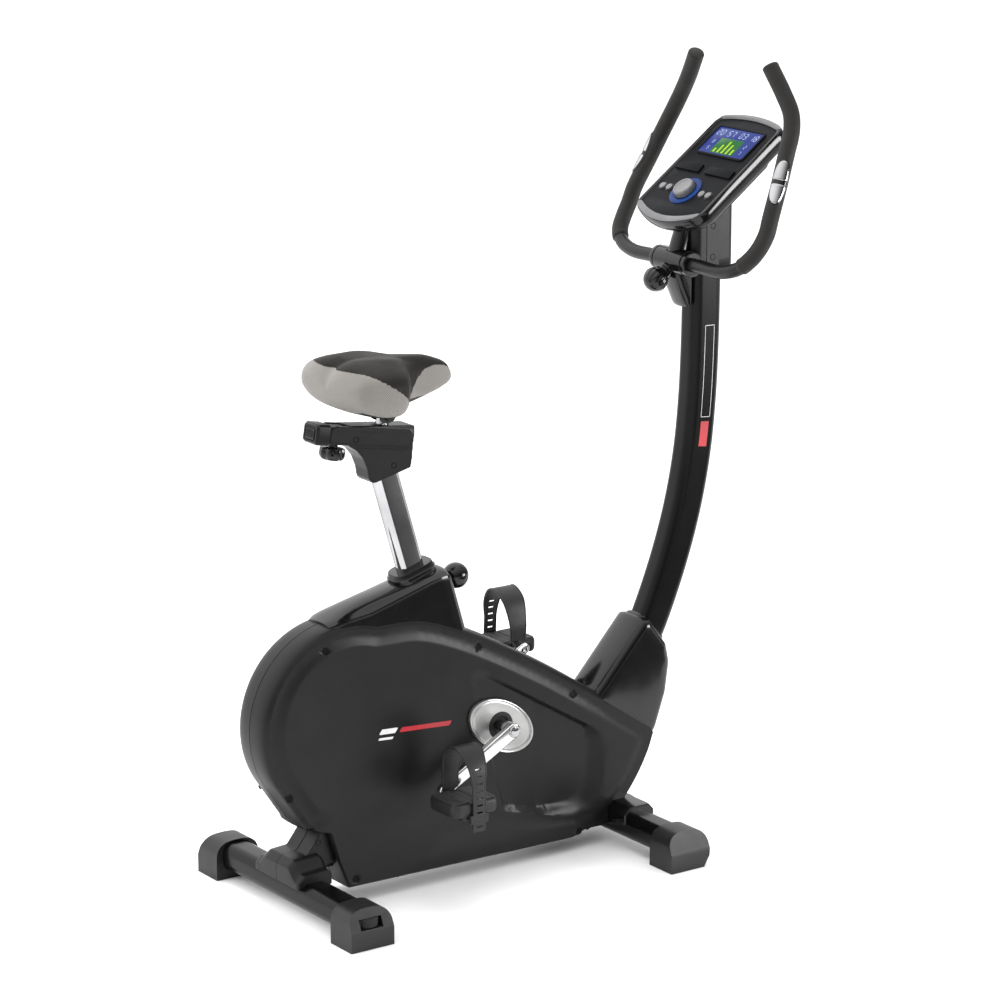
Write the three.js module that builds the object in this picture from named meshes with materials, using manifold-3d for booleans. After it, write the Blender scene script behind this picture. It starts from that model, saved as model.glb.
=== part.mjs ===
// Upright exercise bike with a magnetic flywheel, built as separate pieces.
// Millimetres. +X is the way the rider faces, +Y the rider's left, +Z up, floor at Z = 0.
// X is measured from the rear stabiliser's centre while modelling; the finished group is then
// moved back so that its origin lies at the middle of the footprint, on the floor.
import * as THREE from "three";
import { mergeVertices } from "three/addons/utils/BufferGeometryUtils.js";
import Module from "manifold-3d";

const wasm = await Module();
wasm.setup();

// ---------------------------------------------------------------- driving dimensions
const GAP = 0.3; // clearance between touching pieces
const FOOTPRINT_CENTRE = 473; // middle of the bike's length, from the rear stabiliser

// stabilisers and their end caps
const WHEELBASE = 682.65;
const STABILISER_HALF = 252.75;
const CAP_DEPTH = 65.5;
const CAP_WIDTH = 87;
const TUBE = { wide: 60, high: 50, corner: 20, wall: 2, middle: 41 };

// frame tubes
const SPINE = { rear: -24, front: 705, half: 20, low: 67, high: 97 };
const SEAT_LEAN = THREE.MathUtils.degToRad(16.7);
const SEAT_BASE = [253.4, 560]; // where the seat tube ends and the bushing starts
const SEAT_POST = { deep: 52, wide: 28 };

// housing
const HOUSING_HALF = 50;
const HOUSING_ROUND = 18; // how far the rim draws in towards the flat sides
const WALL = 3;
const FLYWHEEL_AT = [95, 330];
const HOUSING_RADIUS = 180; // rear arc, about the flywheel's axis

// drive
const CRANK_AT = [406, 271];
const CRANK_LENGTH = 170;
const CRANK_ANGLE = THREE.MathUtils.degToRad(209.3); // right arm, from +X towards +Z
const ARM_FACE = 95;
const ARM_THICK = 13;
const PEDAL = { long: 96, inner: 108, outer: 192, above: 7, below: 18, keel: 26 };
const BIG_PULLEY = 100;
const SMALL_PULLEY = 20;
const PULLEY_Y = [24, 36];
const FLYWHEEL_RADIUS = 132;

// seat rail frame: origin on the rail cover's top line
const RAIL_AT = [150, 843];
const RAIL_TILT = THREE.MathUtils.degToRad(9.6);
const RAIL_STOP = -76; // rear end of the guide along the rail

// mast, handlebar and console
const MAST = { wide: 47, deep: 58, corner: 18, wall: 2 };
const BAR_AXIS = [828, 1057];
const BAR_RADIUS = 12.7;
const GRIP_RADIUS = 15;
const CONSOLE_AT = [951, 1259.5];
const CONSOLE_TILT = THREE.MathUtils.degToRad(36.6);
const CASE_DEPTH = 34;
const CASE_BACK_DEPTH = 56;
const CONTROL_ROW = -128; // buttons and dial, down the face from the screen's middle

// ---------------------------------------------------------------- materials
function finish(color, roughness, metalness) {
  return new THREE.MeshStandardMaterial({ color, roughness, metalness });
}
const BLACK_STEEL = finish(0x1c1b1a, 0.45, 0.3);
const GLOSS_BLACK = finish(0x0b0b0c, 0.15, 0.1);
const HOUSING_GREY = finish(0x2b2a29, 0.5, 0.0);
const CAP_GREY = finish(0x3a3937, 0.6, 0.0);
const CHROME = finish(0xd8d8d8, 0.12, 1.0);
const SILVER = finish(0xb9bab8, 0.3, 0.9);
const RUBBER = finish(0x222222, 0.85, 0.0);
const FOAM = finish(0x3b3733, 0.9, 0.0);
const VINYL = finish(0x2d2b29, 0.6, 0.0);
const SCREEN = finish(0x3f51a3, 0.1, 0.0);
const BUTTON = finish(0xc9c6c6, 0.35, 0.2);
const STRAP = finish(0x333234, 0.7, 0.0);
const IRON = finish(0x4a4a4c, 0.5, 0.8);

// ---------------------------------------------------------------- shape helpers
const xyz = (x, y, z) => new THREE.Vector3(x, y, z);

// A closed three.js geometry as a manifold, with faces out.
function solid(geometry, matrix) {
  const bare = geometry.index ? geometry.toNonIndexed() : geometry.clone();
  if (matrix) bare.applyMatrix4(matrix);
  for (const key of Object.keys(bare.attributes)) {
    if (key !== "position") bare.deleteAttribute(key);
  }
  const merged = mergeVertices(bare, 1e-3);
  const index = merged.index.array;
  const faces = [];
  for (let i = 0; i < index.length; i += 3) {
    const [a, b, c] = [index[i], index[i + 1], index[i + 2]];
    if (a !== b && b !== c && c !== a) faces.push(a, b, c);
  }
  const make = (list) => new wasm.Manifold(new wasm.Mesh({
    numProp: 3,
    vertProperties: merged.attributes.position.array,
    triVerts: new Uint32Array(list),
  }));
  const made = make(faces);
  return made.volume() < 0 ? make(faces.reverse()) : made;
}

const join = (...parts) => parts.reduce((whole, part) => whole.add(part));
const cut = (body, ...tools) => tools.reduce((left, tool) => left.subtract(tool), body);

function box(x0, x1, y0, y1, z0, z1, matrix) {
  const block = new THREE.BoxGeometry(x1 - x0, y1 - y0, z1 - z0);
  block.translate((x0 + x1) / 2, (y0 + y1) / 2, (z0 + z1) / 2);
  return solid(block, matrix);
}

function rod(from, to, radius, sides = 12) {
  const along = to.clone().sub(from);
  const bar = new THREE.CylinderGeometry(radius, radius, along.length(), sides);
  const turn = new THREE.Quaternion().setFromUnitVectors(xyz(0, 1, 0), along.clone().normalize());
  bar.applyQuaternion(turn);
  bar.translate(...from.clone().add(to).multiplyScalar(0.5).toArray());
  return solid(bar);
}

// A rod along Y through a point of the side view.
const crossRod = ([x, z], y0, y1, radius, sides) => rod(xyz(x, y0, z), xyz(x, y1, z), radius, sides);

const ball = (at, radius) => {
  const round = new THREE.SphereGeometry(radius, 12, 8);
  round.translate(at.x, at.y, at.z);
  return solid(round);
};

// A profile of [radius, height] points turned about Y through a point of the side view.
function turned([x, z], profile, sides) {
  const points = profile.map(([r, y]) => new THREE.Vector2(r, y));
  const lathe = new THREE.LatheGeometry([...points, points[0]], sides);
  lathe.translate(x, 0, z);
  return solid(lathe);
}

function polygon(points) {
  return new THREE.Shape(points.map(([a, b]) => new THREE.Vector2(a, b)));
}

function roundedRect(wide, high, radius) {
  const [a, b] = [wide / 2 - radius, high / 2 - radius];
  const shape = new THREE.Shape();
  shape.absarc(a, b, radius, 0, Math.PI / 2);
  shape.absarc(-a, b, radius, Math.PI / 2, Math.PI);
  shape.absarc(-a, -b, radius, Math.PI, 1.5 * Math.PI);
  shape.absarc(a, -b, radius, 1.5 * Math.PI, 2 * Math.PI);
  return shape;
}

function disc(radius) {
  const shape = new THREE.Shape();
  shape.absarc(0, 0, radius, 0, 2 * Math.PI);
  return shape;
}

function withHole(outer, inner) {
  outer.holes.push(inner);
  return outer;
}

// The outline around two circles and their outer tangents, as a belt or a crank arm has it.
function linkShape([x1, z1], r1, [x2, z2], r2) {
  const heading = Math.atan2(z2 - z1, x2 - x1);
  const spread = Math.acos((r1 - r2) / Math.hypot(x2 - x1, z2 - z1));
  const shape = new THREE.Shape();
  shape.absarc(x1, z1, r1, heading + spread, heading - spread + 2 * Math.PI);
  shape.absarc(x2, z2, r2, heading - spread, heading + spread);
  return shape;
}

// The shape as straight pieces, without the doubled points where its curves meet.
function straightened(shape, divisions) {
  const distinct = (path) => {
    const points = path.getPoints(divisions);
    return points.filter((p, i) => p.distanceTo(points.at(i - 1)) > 0.01);
  };
  const plain = new THREE.Shape(distinct(shape));
  plain.holes = shape.holes.map((hole) => new THREE.Path(distinct(hole)));
  return plain;
}

// A side-view (X, Z) outline given thickness from y0 to y1. bevel.size draws the rim in towards
// the flat sides over bevel.deep, and grow moves the whole outline outwards.
function slab(shape, y0, y1, bevel = { size: 0, deep: 0, steps: 1 }, grow = 0) {
  const bent = bevel.size > 0 || grow !== 0;
  const plate = new THREE.ExtrudeGeometry(straightened(shape, 6), {
    depth: y1 - y0 - 2 * bevel.deep,
    bevelEnabled: bent,
    bevelSize: bevel.size,
    bevelThickness: bevel.deep,
    bevelOffset: grow - bevel.size,
    bevelSegments: bevel.steps,
  });
  plate.rotateX(Math.PI / 2);
  plate.translate(0, y1 - bevel.deep, 0);
  return solid(plate);
}

// A section pushed from one point to another; its x axis stays along the given direction.
function prism(from, to, section, sideways) {
  const along = to.clone().sub(from);
  const length = along.length();
  const forward = along.normalize();
  const side = sideways.clone().normalize();
  const bar = new THREE.ExtrudeGeometry(section, { depth: length, bevelEnabled: false, curveSegments: 2 });
  const basis = new THREE.Matrix4().makeBasis(side, forward.clone().cross(side), forward);
  return solid(bar, basis.setPosition(from));
}

function sweep(points, section, steps, curveSegments) {
  const extrudePath = new THREE.CatmullRomCurve3(points, false, "centripetal");
  return solid(new THREE.ExtrudeGeometry(section, { steps, extrudePath, curveSegments }));
}

// A flat section (x, y) raised along local Z from z0 to z1.
function raised(shape, z0, z1, curveSegments = 6) {
  const plate = new THREE.ExtrudeGeometry(shape, { depth: z1 - z0, bevelEnabled: false, curveSegments });
  plate.translate(0, 0, z0);
  return solid(plate);
}

// A strip of even thickness along a smooth (Y, Z) line, as wide as x0 to x1.
function band(points, thickness, x0, x1) {
  const line = new THREE.SplineCurve(points.map(([y, z]) => new THREE.Vector2(y, z)));
  const steps = 16;
  const edge = (side) => Array.from({ length: steps + 1 }, (_, i) => {
    const tangent = line.getTangent(i / steps);
    const normal = new THREE.Vector2(-tangent.y, tangent.x).multiplyScalar((side * thickness) / 2);
    return line.getPoint(i / steps).add(normal);
  });
  const strip = new THREE.ExtrudeGeometry(new THREE.Shape([...edge(1), ...edge(-1).reverse()]), {
    depth: x1 - x0,
    bevelEnabled: false,
  });
  // local x, y, z become world Y, Z, X
  const basis = new THREE.Matrix4().makeBasis(xyz(0, 1, 0), xyz(0, 0, 1), xyz(1, 0, 0));
  return solid(strip, basis.setPosition(x0, 0, 0));
}

const mirrored = (body) => body.mirror([0, 1, 0]);

const bike = new THREE.Group();

function node(name, body, material, parent = bike) {
  const { vertProperties, triVerts } = body.getMesh();
  const geometry = new THREE.BufferGeometry();
  geometry.setAttribute("position", new THREE.BufferAttribute(vertProperties, 3));
  geometry.setIndex(new THREE.BufferAttribute(triVerts, 1));
  geometry.computeVertexNormals();
  const mesh = new THREE.Mesh(geometry, material);
  mesh.name = name;
  parent.add(mesh);
}

// A piece for each side: the one built at +Y is the left one, and its mirror image the right one.
function pair(name, body, material) {
  node(`${name}_left`, body, material);
  node(`${name}_right`, mirrored(body), material);
}

// ---------------------------------------------------------------- shared solids
const stabiliserSection = (grow) =>
  roundedRect(TUBE.wide + 2 * grow, TUBE.high + 2 * grow, TUBE.corner + grow);

function stabiliserEnvelope(x, reach, grow) {
  const from = xyz(x, -reach, TUBE.middle);
  return prism(from, xyz(x, reach, TUBE.middle), stabiliserSection(grow), xyz(1, 0, 0));
}

// The seat tube's axis: a point at a given height above the bushing's seat, along the axis.
function seatAxis(along) {
  const [x, z] = SEAT_BASE;
  return xyz(x - along * Math.sin(SEAT_LEAN), 0, z + along * Math.cos(SEAT_LEAN));
}
const SEAT_FORWARD = xyz(Math.cos(SEAT_LEAN), 0, Math.sin(SEAT_LEAN));
const seatSection = (deep, wide) => roundedRect(deep, wide, wide / 2 - 1);
const seatPrism = (from, to, section) => prism(seatAxis(from), seatAxis(to), section, SEAT_FORWARD);

// The mast's centre line in the side view: straight through the socket, then curving upright.
const MAST_LINE = [
  [725, 300], [751, 350], [777, 400], [818.5, 500], [850, 600], [870.5, 700], [881, 800], [885.5, 900],
  [887, 1000], [887, 1130],
];
const mastPoints = MAST_LINE.map(([x, z]) => xyz(x, 0, z));
const mastSection = (grow) => roundedRect(MAST.wide + 2 * grow, MAST.deep + 2 * grow, MAST.corner + grow);
const mastSweep = (section) => sweep(mastPoints, section, 16, 1);
const mastEnvelope = (grow) => mastSweep(mastSection(grow));

// The steel socket that the mast slides over, from the spine up into the mast's foot.
const SOCKET = { foot: xyz(619, 0, 96), head: xyz(764, 0, 375), wide: 38, deep: 48, corner: 12 };
function socketEnvelope(grow, beyond = 0) {
  const onward = SOCKET.head.clone().sub(SOCKET.foot).normalize();
  const from = SOCKET.foot.clone().addScaledVector(onward, beyond * 10);
  const to = SOCKET.head.clone().addScaledVector(onward, beyond);
  const section = roundedRect(SOCKET.wide + 2 * grow, SOCKET.deep + 2 * grow, SOCKET.corner + grow);
  return prism(from, to, section, xyz(0, 1, 0));
}

const consoleFrame = new THREE.Matrix4()
  .makeRotationY(-CONSOLE_TILT)
  .setPosition(CONSOLE_AT[0], 0, CONSOLE_AT[1]);
const consoleSpace = box(-400, 400, -200, 200, -CASE_BACK_DEPTH - GAP, 200, consoleFrame);

function housingShape() {
  const [x, z] = FLYWHEEL_AT;
  const rad = THREE.MathUtils.degToRad;
  const shape = new THREE.Shape();
  shape.moveTo(84, 30);
  shape.lineTo(650, 24);
  shape.lineTo(712, 92);
  shape.quadraticCurveTo(752, 145, 768, 203);
  shape.lineTo(630, 292);
  shape.lineTo(500, 374);
  shape.lineTo(335, 462);
  const crest = [x + HOUSING_RADIUS * Math.cos(rad(72)), z + HOUSING_RADIUS * Math.sin(rad(72))];
  shape.quadraticCurveTo(250, 503, ...crest);
  shape.absarc(x, z, HOUSING_RADIUS, rad(72), rad(212), false);
  shape.lineTo(0, 150);
  shape.lineTo(46, 138);
  shape.lineTo(62, 84);
  return shape;
}
const housingBevel = { size: HOUSING_ROUND, deep: 26, steps: 2 };
function housingEnvelope(grow) {
  return slab(housingShape(), -HOUSING_HALF - grow, HOUSING_HALF + grow, housingBevel, grow);
}

// ---------------------------------------------------------------- base frame
function spineEnvelope(grow) {
  const { rear, front, half, low, high } = SPINE;
  const tubeTop = TUBE.middle + TUBE.high / 2;
  const block = (x0, x1, wide, z0, z1) =>
    box(x0 - grow, x1 + grow, -wide - grow, wide + grow, z0 - grow, z1 + grow);
  const plates = [0, WHEELBASE].map((x) => block(x - 28, x + 28, 45, tubeTop + GAP, 72));
  return join(block(rear, front, half, low, high), ...plates);
}

function baseFrame() {
  const { rear, front, half, low, high } = SPINE;
  const bore = box(rear - 1, front + 1, -half + 2, half - 2, low + 2, high - 2);
  const spine = cut(join(spineEnvelope(0), socketEnvelope(0)), bore, socketEnvelope(-2, 2));
  node("frame_spine", spine, BLACK_STEEL);

  const reach = STABILISER_HALF - CAP_DEPTH + 11;
  for (const [name, x] of [["rear", 0], ["front", WHEELBASE]]) {
    const [from, to] = [xyz(x, -reach, TUBE.middle), xyz(x, reach, TUBE.middle)];
    const section = withHole(stabiliserSection(0), stabiliserSection(-TUBE.wall));
    node(`${name}_stabiliser`, prism(from, to, section, xyz(1, 0, 0)), BLACK_STEEL);
  }
}

// Seat tube with the bottom bracket shell welded to its front and a boss for the pull pin.
const PIN_HEIGHT = -39.5; // the pull pin's height along the seat axis
const pinAt = (reach) => seatAxis(PIN_HEIGHT).addScaledVector(SEAT_FORWARD, reach);
const SHELL_Y = [-34, 20];

function seatTube() {
  const outer = seatPrism(-490, -GAP, seatSection(62, 38));
  const inner = seatPrism(-495, 1, seatSection(SEAT_POST.deep + 2 * GAP, SEAT_POST.wide + 2 * GAP));
  const shell = crossRod(CRANK_AT, ...SHELL_Y, 24, 20);
  const gusset = box(345, 400, -15, 15, 255, 287);
  const boss = rod(pinAt(20), pinAt(56), 13);
  const tools = [
    inner,
    crossRod(CRANK_AT, -40, 40, 18, 20),
    rod(pinAt(0), pinAt(60), 6 + GAP),
    box(200, 500, -40, 40, 0, SPINE.high + GAP),
  ];
  node("seat_tube", cut(join(outer, shell, gusset, boss), ...tools), BLACK_STEEL);

  const ring = seatPrism(0, 15, seatSection(88, 60));
  const lip = seatPrism(14, 20, seatSection(78, 52));
  const bore = seatPrism(-1, 21, seatSection(SEAT_POST.deep + 2 * GAP, SEAT_POST.wide + 2 * GAP));
  node("seat_bushing", cut(join(ring, lip), bore), GLOSS_BLACK);
}

// The glossy elbow that carries the front stabiliser, and its saddle over the tube.
function frontLeg(grow) {
  const elbow = ball(xyz(668, 0, 60), 36 + grow);
  const [x0, x1, half] = [WHEELBASE - 33 - grow, WHEELBASE + 35 + grow, 98 + grow];
  return join(elbow, box(x0, x1, -half, half, 48 - grow, 77 + grow));
}

// Moulded cover over the rear foot: a block on the stabiliser and a leg that leans forward.
function rearFoot(grow) {
  const block = box(-34 - grow, 34 + grow, -72 - grow, 72 + grow, 58 - grow, 84 + grow);
  const leg = polygon([[-14, 80], [4, 96], [40, 142], [62, 150], [62, 80]]);
  return join(block, slab(leg, -35 - grow, 35 + grow, undefined, grow));
}

function feet() {
  const clear = (body, x) => cut(body, spineEnvelope(GAP), stabiliserEnvelope(x, 260, GAP));
  node("front_leg", clear(frontLeg(0), WHEELBASE), GLOSS_BLACK);
  node("rear_foot_cover", clear(rearFoot(0), 0), HOUSING_GREY);
}

// ---------------------------------------------------------------- end caps and their wheels
const LEVEL = { y: 226, radius: 24, low: 36.5, high: 53.5 };
const ROLLER = { x: 23.3, z: 22, radius: 19, y: 222, half: 9, pin: 4 };

// The cap's outline across the tube; a front cap has its lower front corner cut for the roller.
function capOutline(front) {
  const half = CAP_WIDTH / 2;
  const shoulder = [[half, 36], [40.5, 55], [31, 64], [15, 70.5], [0, 72.5]];
  const crown = [...shoulder, ...shoulder.slice(0, -1).reverse().map(([x, z]) => [-x, z])];
  const foot = front ? [[-half, 0], [30.5, 0], [42.5, 20]] : [[-half, 0], [half, 0]];
  return polygon([...foot, ...crown]);
}

function capBlank(x, front) {
  const inner = STABILISER_HALF - CAP_DEPTH;
  const block = slab(capOutline(front), inner, STABILISER_HALF).translate([x, 0, 0]);
  // the end leans in above its lower band
  const slope = polygon([[STABILISER_HALF, 33], [239, 63], [232, 80], [270, 80], [270, 33]]);
  const lean = new THREE.ExtrudeGeometry(slope, { depth: 120, bevelEnabled: false });
  const basis = new THREE.Matrix4().makeBasis(xyz(0, 1, 0), xyz(0, 0, 1), xyz(1, 0, 0));
  const [from, to] = [xyz(x, inner - 1, TUBE.middle), xyz(x, inner + 11.5, TUBE.middle)];
  const socket = prism(from, to, stabiliserSection(GAP), xyz(1, 0, 0));
  return cut(block, solid(lean, basis.setPosition(x - 60, 0, 0)), socket);
}

function endCaps() {
  const wheelRoom = join(
    rod(xyz(0, LEVEL.y, LEVEL.low - GAP), xyz(0, LEVEL.y, LEVEL.high + GAP), LEVEL.radius + 1, 20),
    box(-22.5, 22.5, LEVEL.y, 260, LEVEL.low - GAP, LEVEL.high + GAP),
  );
  const footRoom = join(
    rod(xyz(0, LEVEL.y, -1), xyz(0, LEVEL.y, 9), 18.4),
    rod(xyz(0, LEVEL.y, 0), xyz(0, LEVEL.y, 40), 6.5),
  );
  pair("rear_cap", cut(capBlank(0, false), wheelRoom, footRoom), CAP_GREY);

  const wheel = join(
    rod(xyz(0, LEVEL.y, LEVEL.low), xyz(0, LEVEL.y, LEVEL.high), LEVEL.radius, 20),
    rod(xyz(0, LEVEL.y, 8), xyz(0, LEVEL.y, LEVEL.low + 1), 6),
    rod(xyz(0, LEVEL.y, 2.5), xyz(0, LEVEL.y, 8.5), 17),
  );
  pair("levelling_wheel", wheel, RUBBER);

  const at = [WHEELBASE + ROLLER.x, ROLLER.z];
  const low = ROLLER.y - ROLLER.half;
  const high = ROLLER.y + ROLLER.half;
  const rollerRoom = join(
    crossRod(at, low - 1, high + 1, ROLLER.radius + 1.5, 20),
    box(at[0], at[0] + 40, low - 1, high + 1, -1, ROLLER.z + ROLLER.radius + 1.5),
    box(at[0] - ROLLER.radius - 1.5, at[0] + 1, low - 1, high + 1, -1, ROLLER.z),
    crossRod(at, low - 7, high + 7, ROLLER.pin + GAP),
  );
  pair("front_cap", cut(capBlank(WHEELBASE, true), rollerRoom), CAP_GREY);
  const pin = crossRod(at, low - 6.5, high + 6.5, ROLLER.pin);
  const roller = join(crossRod(at, low, high, ROLLER.radius, 20), pin);
  pair("transport_wheel", roller, RUBBER);
}

// ---------------------------------------------------------------- housing and covers
const SEAT_COVER = [
  [58, 440], [58, 508], [80, 516], [206, 545.5], [303, 574.8], [316, 548], [341, 462], [341, 420],
];
const MAST_COVER = [
  [612, 270], [630, 296], [736, 413], [752, 405], [792, 354], [797, 320], [790, 262], [772, 205], [750, 170],
];

function housing() {
  const outer = housingEnvelope(0);
  const inner = slab(housingShape(), -HOUSING_HALF + WALL, HOUSING_HALF - WALL, housingBevel, -WALL);
  const whole = cut(
    outer,
    inner,
    crossRod(CRANK_AT, -60, 60, 21, 24),
    seatPrism(-490, 20, seatSection(62 + 2 * GAP, 38 + 2 * GAP)),
    socketEnvelope(GAP),
    spineEnvelope(GAP),
    frontLeg(GAP),
    rearFoot(GAP),
    stabiliserEnvelope(WHEELBASE, 260, GAP),
    crossRod([120, 62], 40, 60, 5 + GAP),
  );
  node("housing_left", cut(whole, box(-200, 900, -99, GAP / 2, 0, 700)), HOUSING_GREY);
  node("housing_right", cut(whole, box(-200, 900, -GAP / 2, 99, 0, 700)), HOUSING_GREY);

  const shell = (outline, half, bevel) => cut(
    slab(polygon(outline), -half, half, bevel, 0),
    slab(polygon(outline), -half + WALL, half - WALL, bevel, -WALL),
    housingEnvelope(GAP),
  );
  const seatCover = cut(
    shell(SEAT_COVER, 46, { size: 12, deep: 20, steps: 2 }),
    seatPrism(-300, 20, seatSection(62 + 2 * GAP, 38 + 2 * GAP)),
    rod(pinAt(10), pinAt(110), 13 + GAP),
  );
  node("seat_tube_cover", seatCover, GLOSS_BLACK);
  const mastCover = cut(
    shell(MAST_COVER, 44, { size: 10, deep: 14, steps: 2 }),
    mastEnvelope(GAP),
    socketEnvelope(GAP),
  );
  node("mast_cover", mastCover, GLOSS_BLACK);

  // dished oval trim around each crank hub
  const oval = new THREE.Shape();
  oval.absellipse(0, 0, 75, 45, 0, 2 * Math.PI);
  oval.holes.push(disc(22));
  const trim = slab(oval, HOUSING_HALF + GAP, HOUSING_HALF + 7).rotate([0, 30, 0]);
  pair("crank_disc", trim.translate([CRANK_AT[0], 0, CRANK_AT[1]]), SILVER);

  const socket = cut(crossRod([120, 62], 42, 51.5, 5), crossRod([120, 62], 44, 60, 2.8));
  node("power_inlet", socket, GLOSS_BLACK);
}

// ---------------------------------------------------------------- drive train inside the housing
const MAGNET_PIVOT = [-11, 224];

function drive() {
  const plate = slab(polygon([
    [82, 94], [150, 94], [128, 345], [95, 362], [62, 345],
    [-2, 242], [-24, 234], [-22, 210], [24, 190], [72, 140],
  ]), -36, -31);
  const foot = box(84, 144, -33, 19, SPINE.high + GAP, SPINE.high + 4);
  const bracket = cut(
    join(plate, foot, crossRod(FLYWHEEL_AT, -33, 40, 8), crossRod(MAGNET_PIVOT, -33, 18, 5)),
    spineEnvelope(GAP),
  );
  node("drive_bracket", bracket, BLACK_STEEL);

  const [from, to] = PULLEY_Y;
  const wheel = turned(FLYWHEEL_AT, [
    [8 + GAP, -28], [28, -28], [28, -10], [100, -10], [104, -24],
    [FLYWHEEL_RADIUS, -24], [FLYWHEEL_RADIUS, 18], [104, 18], [100, 4], [28, 4],
    [SMALL_PULLEY, from - 2], [SMALL_PULLEY, to + 1], [8 + GAP, to + 1],
  ], 24);
  node("flywheel", wheel, IRON);

  const loop = (grow) => linkShape(CRANK_AT, BIG_PULLEY + grow, FLYWHEEL_AT, SMALL_PULLEY + grow);
  node("drive_belt", slab(withHole(loop(3.5), loop(0.5)), from + 1, to - 1), RUBBER);

  // curved shoe of magnets that swings towards and away from the flywheel's rim
  const shoe = new THREE.Shape();
  const rad = THREE.MathUtils.degToRad;
  shoe.absarc(0, 0, 150, rad(120), rad(224), false);
  shoe.absarc(0, 0, 136, rad(224), rad(120), true);
  const arc = slab(shoe, -20, 14).translate([FLYWHEEL_AT[0], 0, FLYWHEEL_AT[1]]);
  const hinge = crossRod(MAGNET_PIVOT, -20, 14, 12);
  const magnets = cut(join(arc, hinge), crossRod(MAGNET_PIVOT, -40, 40, 5 + GAP));
  node("magnet_bracket", magnets, IRON);

  const motor = join(box(505, 575, -22, 22, SPINE.high + GAP, 145), crossRod([540, 121], 20, 34, 10));
  node("resistance_motor", motor, HOUSING_GREY);

  const bearing = cut(
    crossRod(CRANK_AT, SHELL_Y[0] + 1, SHELL_Y[1] - 1, 18 - GAP, 20),
    crossRod(CRANK_AT, -40, 40, 8.5 + GAP, 20),
  );
  node("crank_bearing", bearing, CHROME);
  const axle = join(crossRod(CRANK_AT, -93, 93, 8.5), crossRod(CRANK_AT, from, to, BIG_PULLEY - 1.5, 32));
  node("crank_axle", axle, IRON);
}

// ---------------------------------------------------------------- cranks and pedals
// side is +1 for the left crank, which points opposite to the right one.
function pedalAxis(side) {
  const reach = -side * CRANK_LENGTH;
  return [CRANK_AT[0] + reach * Math.cos(CRANK_ANGLE), CRANK_AT[1] + reach * Math.sin(CRANK_ANGLE)];
}

function crankSide(label, side) {
  const axis = pedalAxis(side);
  const face = (y0, y1) => (side > 0 ? [y0, y1] : [-y1, -y0]);
  const arm = slab(linkShape(CRANK_AT, 17, axis, 12.5), ...face(ARM_FACE - ARM_THICK, ARM_FACE));
  const spindle = crossRod(axis, ...face(ARM_FACE - 5, 186), 6);
  const bore = crossRod(CRANK_AT, ...face(70, 93 + GAP), 8.5 + GAP);
  node(`crank_arm_${label}`, cut(join(arm, spindle), bore), SILVER);

  const [x, z] = axis;
  const middle = (PEDAL.inner + PEDAL.outer) / 2;
  const plan = roundedRect(PEDAL.long, PEDAL.outer - PEDAL.inner, 26);
  const platform = raised(plan, z - PEDAL.below, z + PEDAL.above, 3).translate([x, side * middle, 0]);
  const keel = box(x - 26, x + 26, ...face(PEDAL.inner + 6, PEDAL.outer - 6), z - PEDAL.keel, z);
  const spindleRoom = crossRod(axis, ...face(100, 187), 6 + GAP);
  node(`pedal_${label}`, cut(join(platform, keel), spindleRoom), RUBBER);

  // strap from the buckle on the outer side, over the foot, to the platform's inner side
  const line = [[194.2, -46], [195.5, 20], [188, 72], [158, 100], [124, 86], [107, 44], [105.8, 9]];
  const strap = band(line, 2.4, -18, 22).translate([x, 0, z]);
  node(`pedal_strap_${label}`, side > 0 ? strap : mirrored(strap), STRAP);
}

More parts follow.
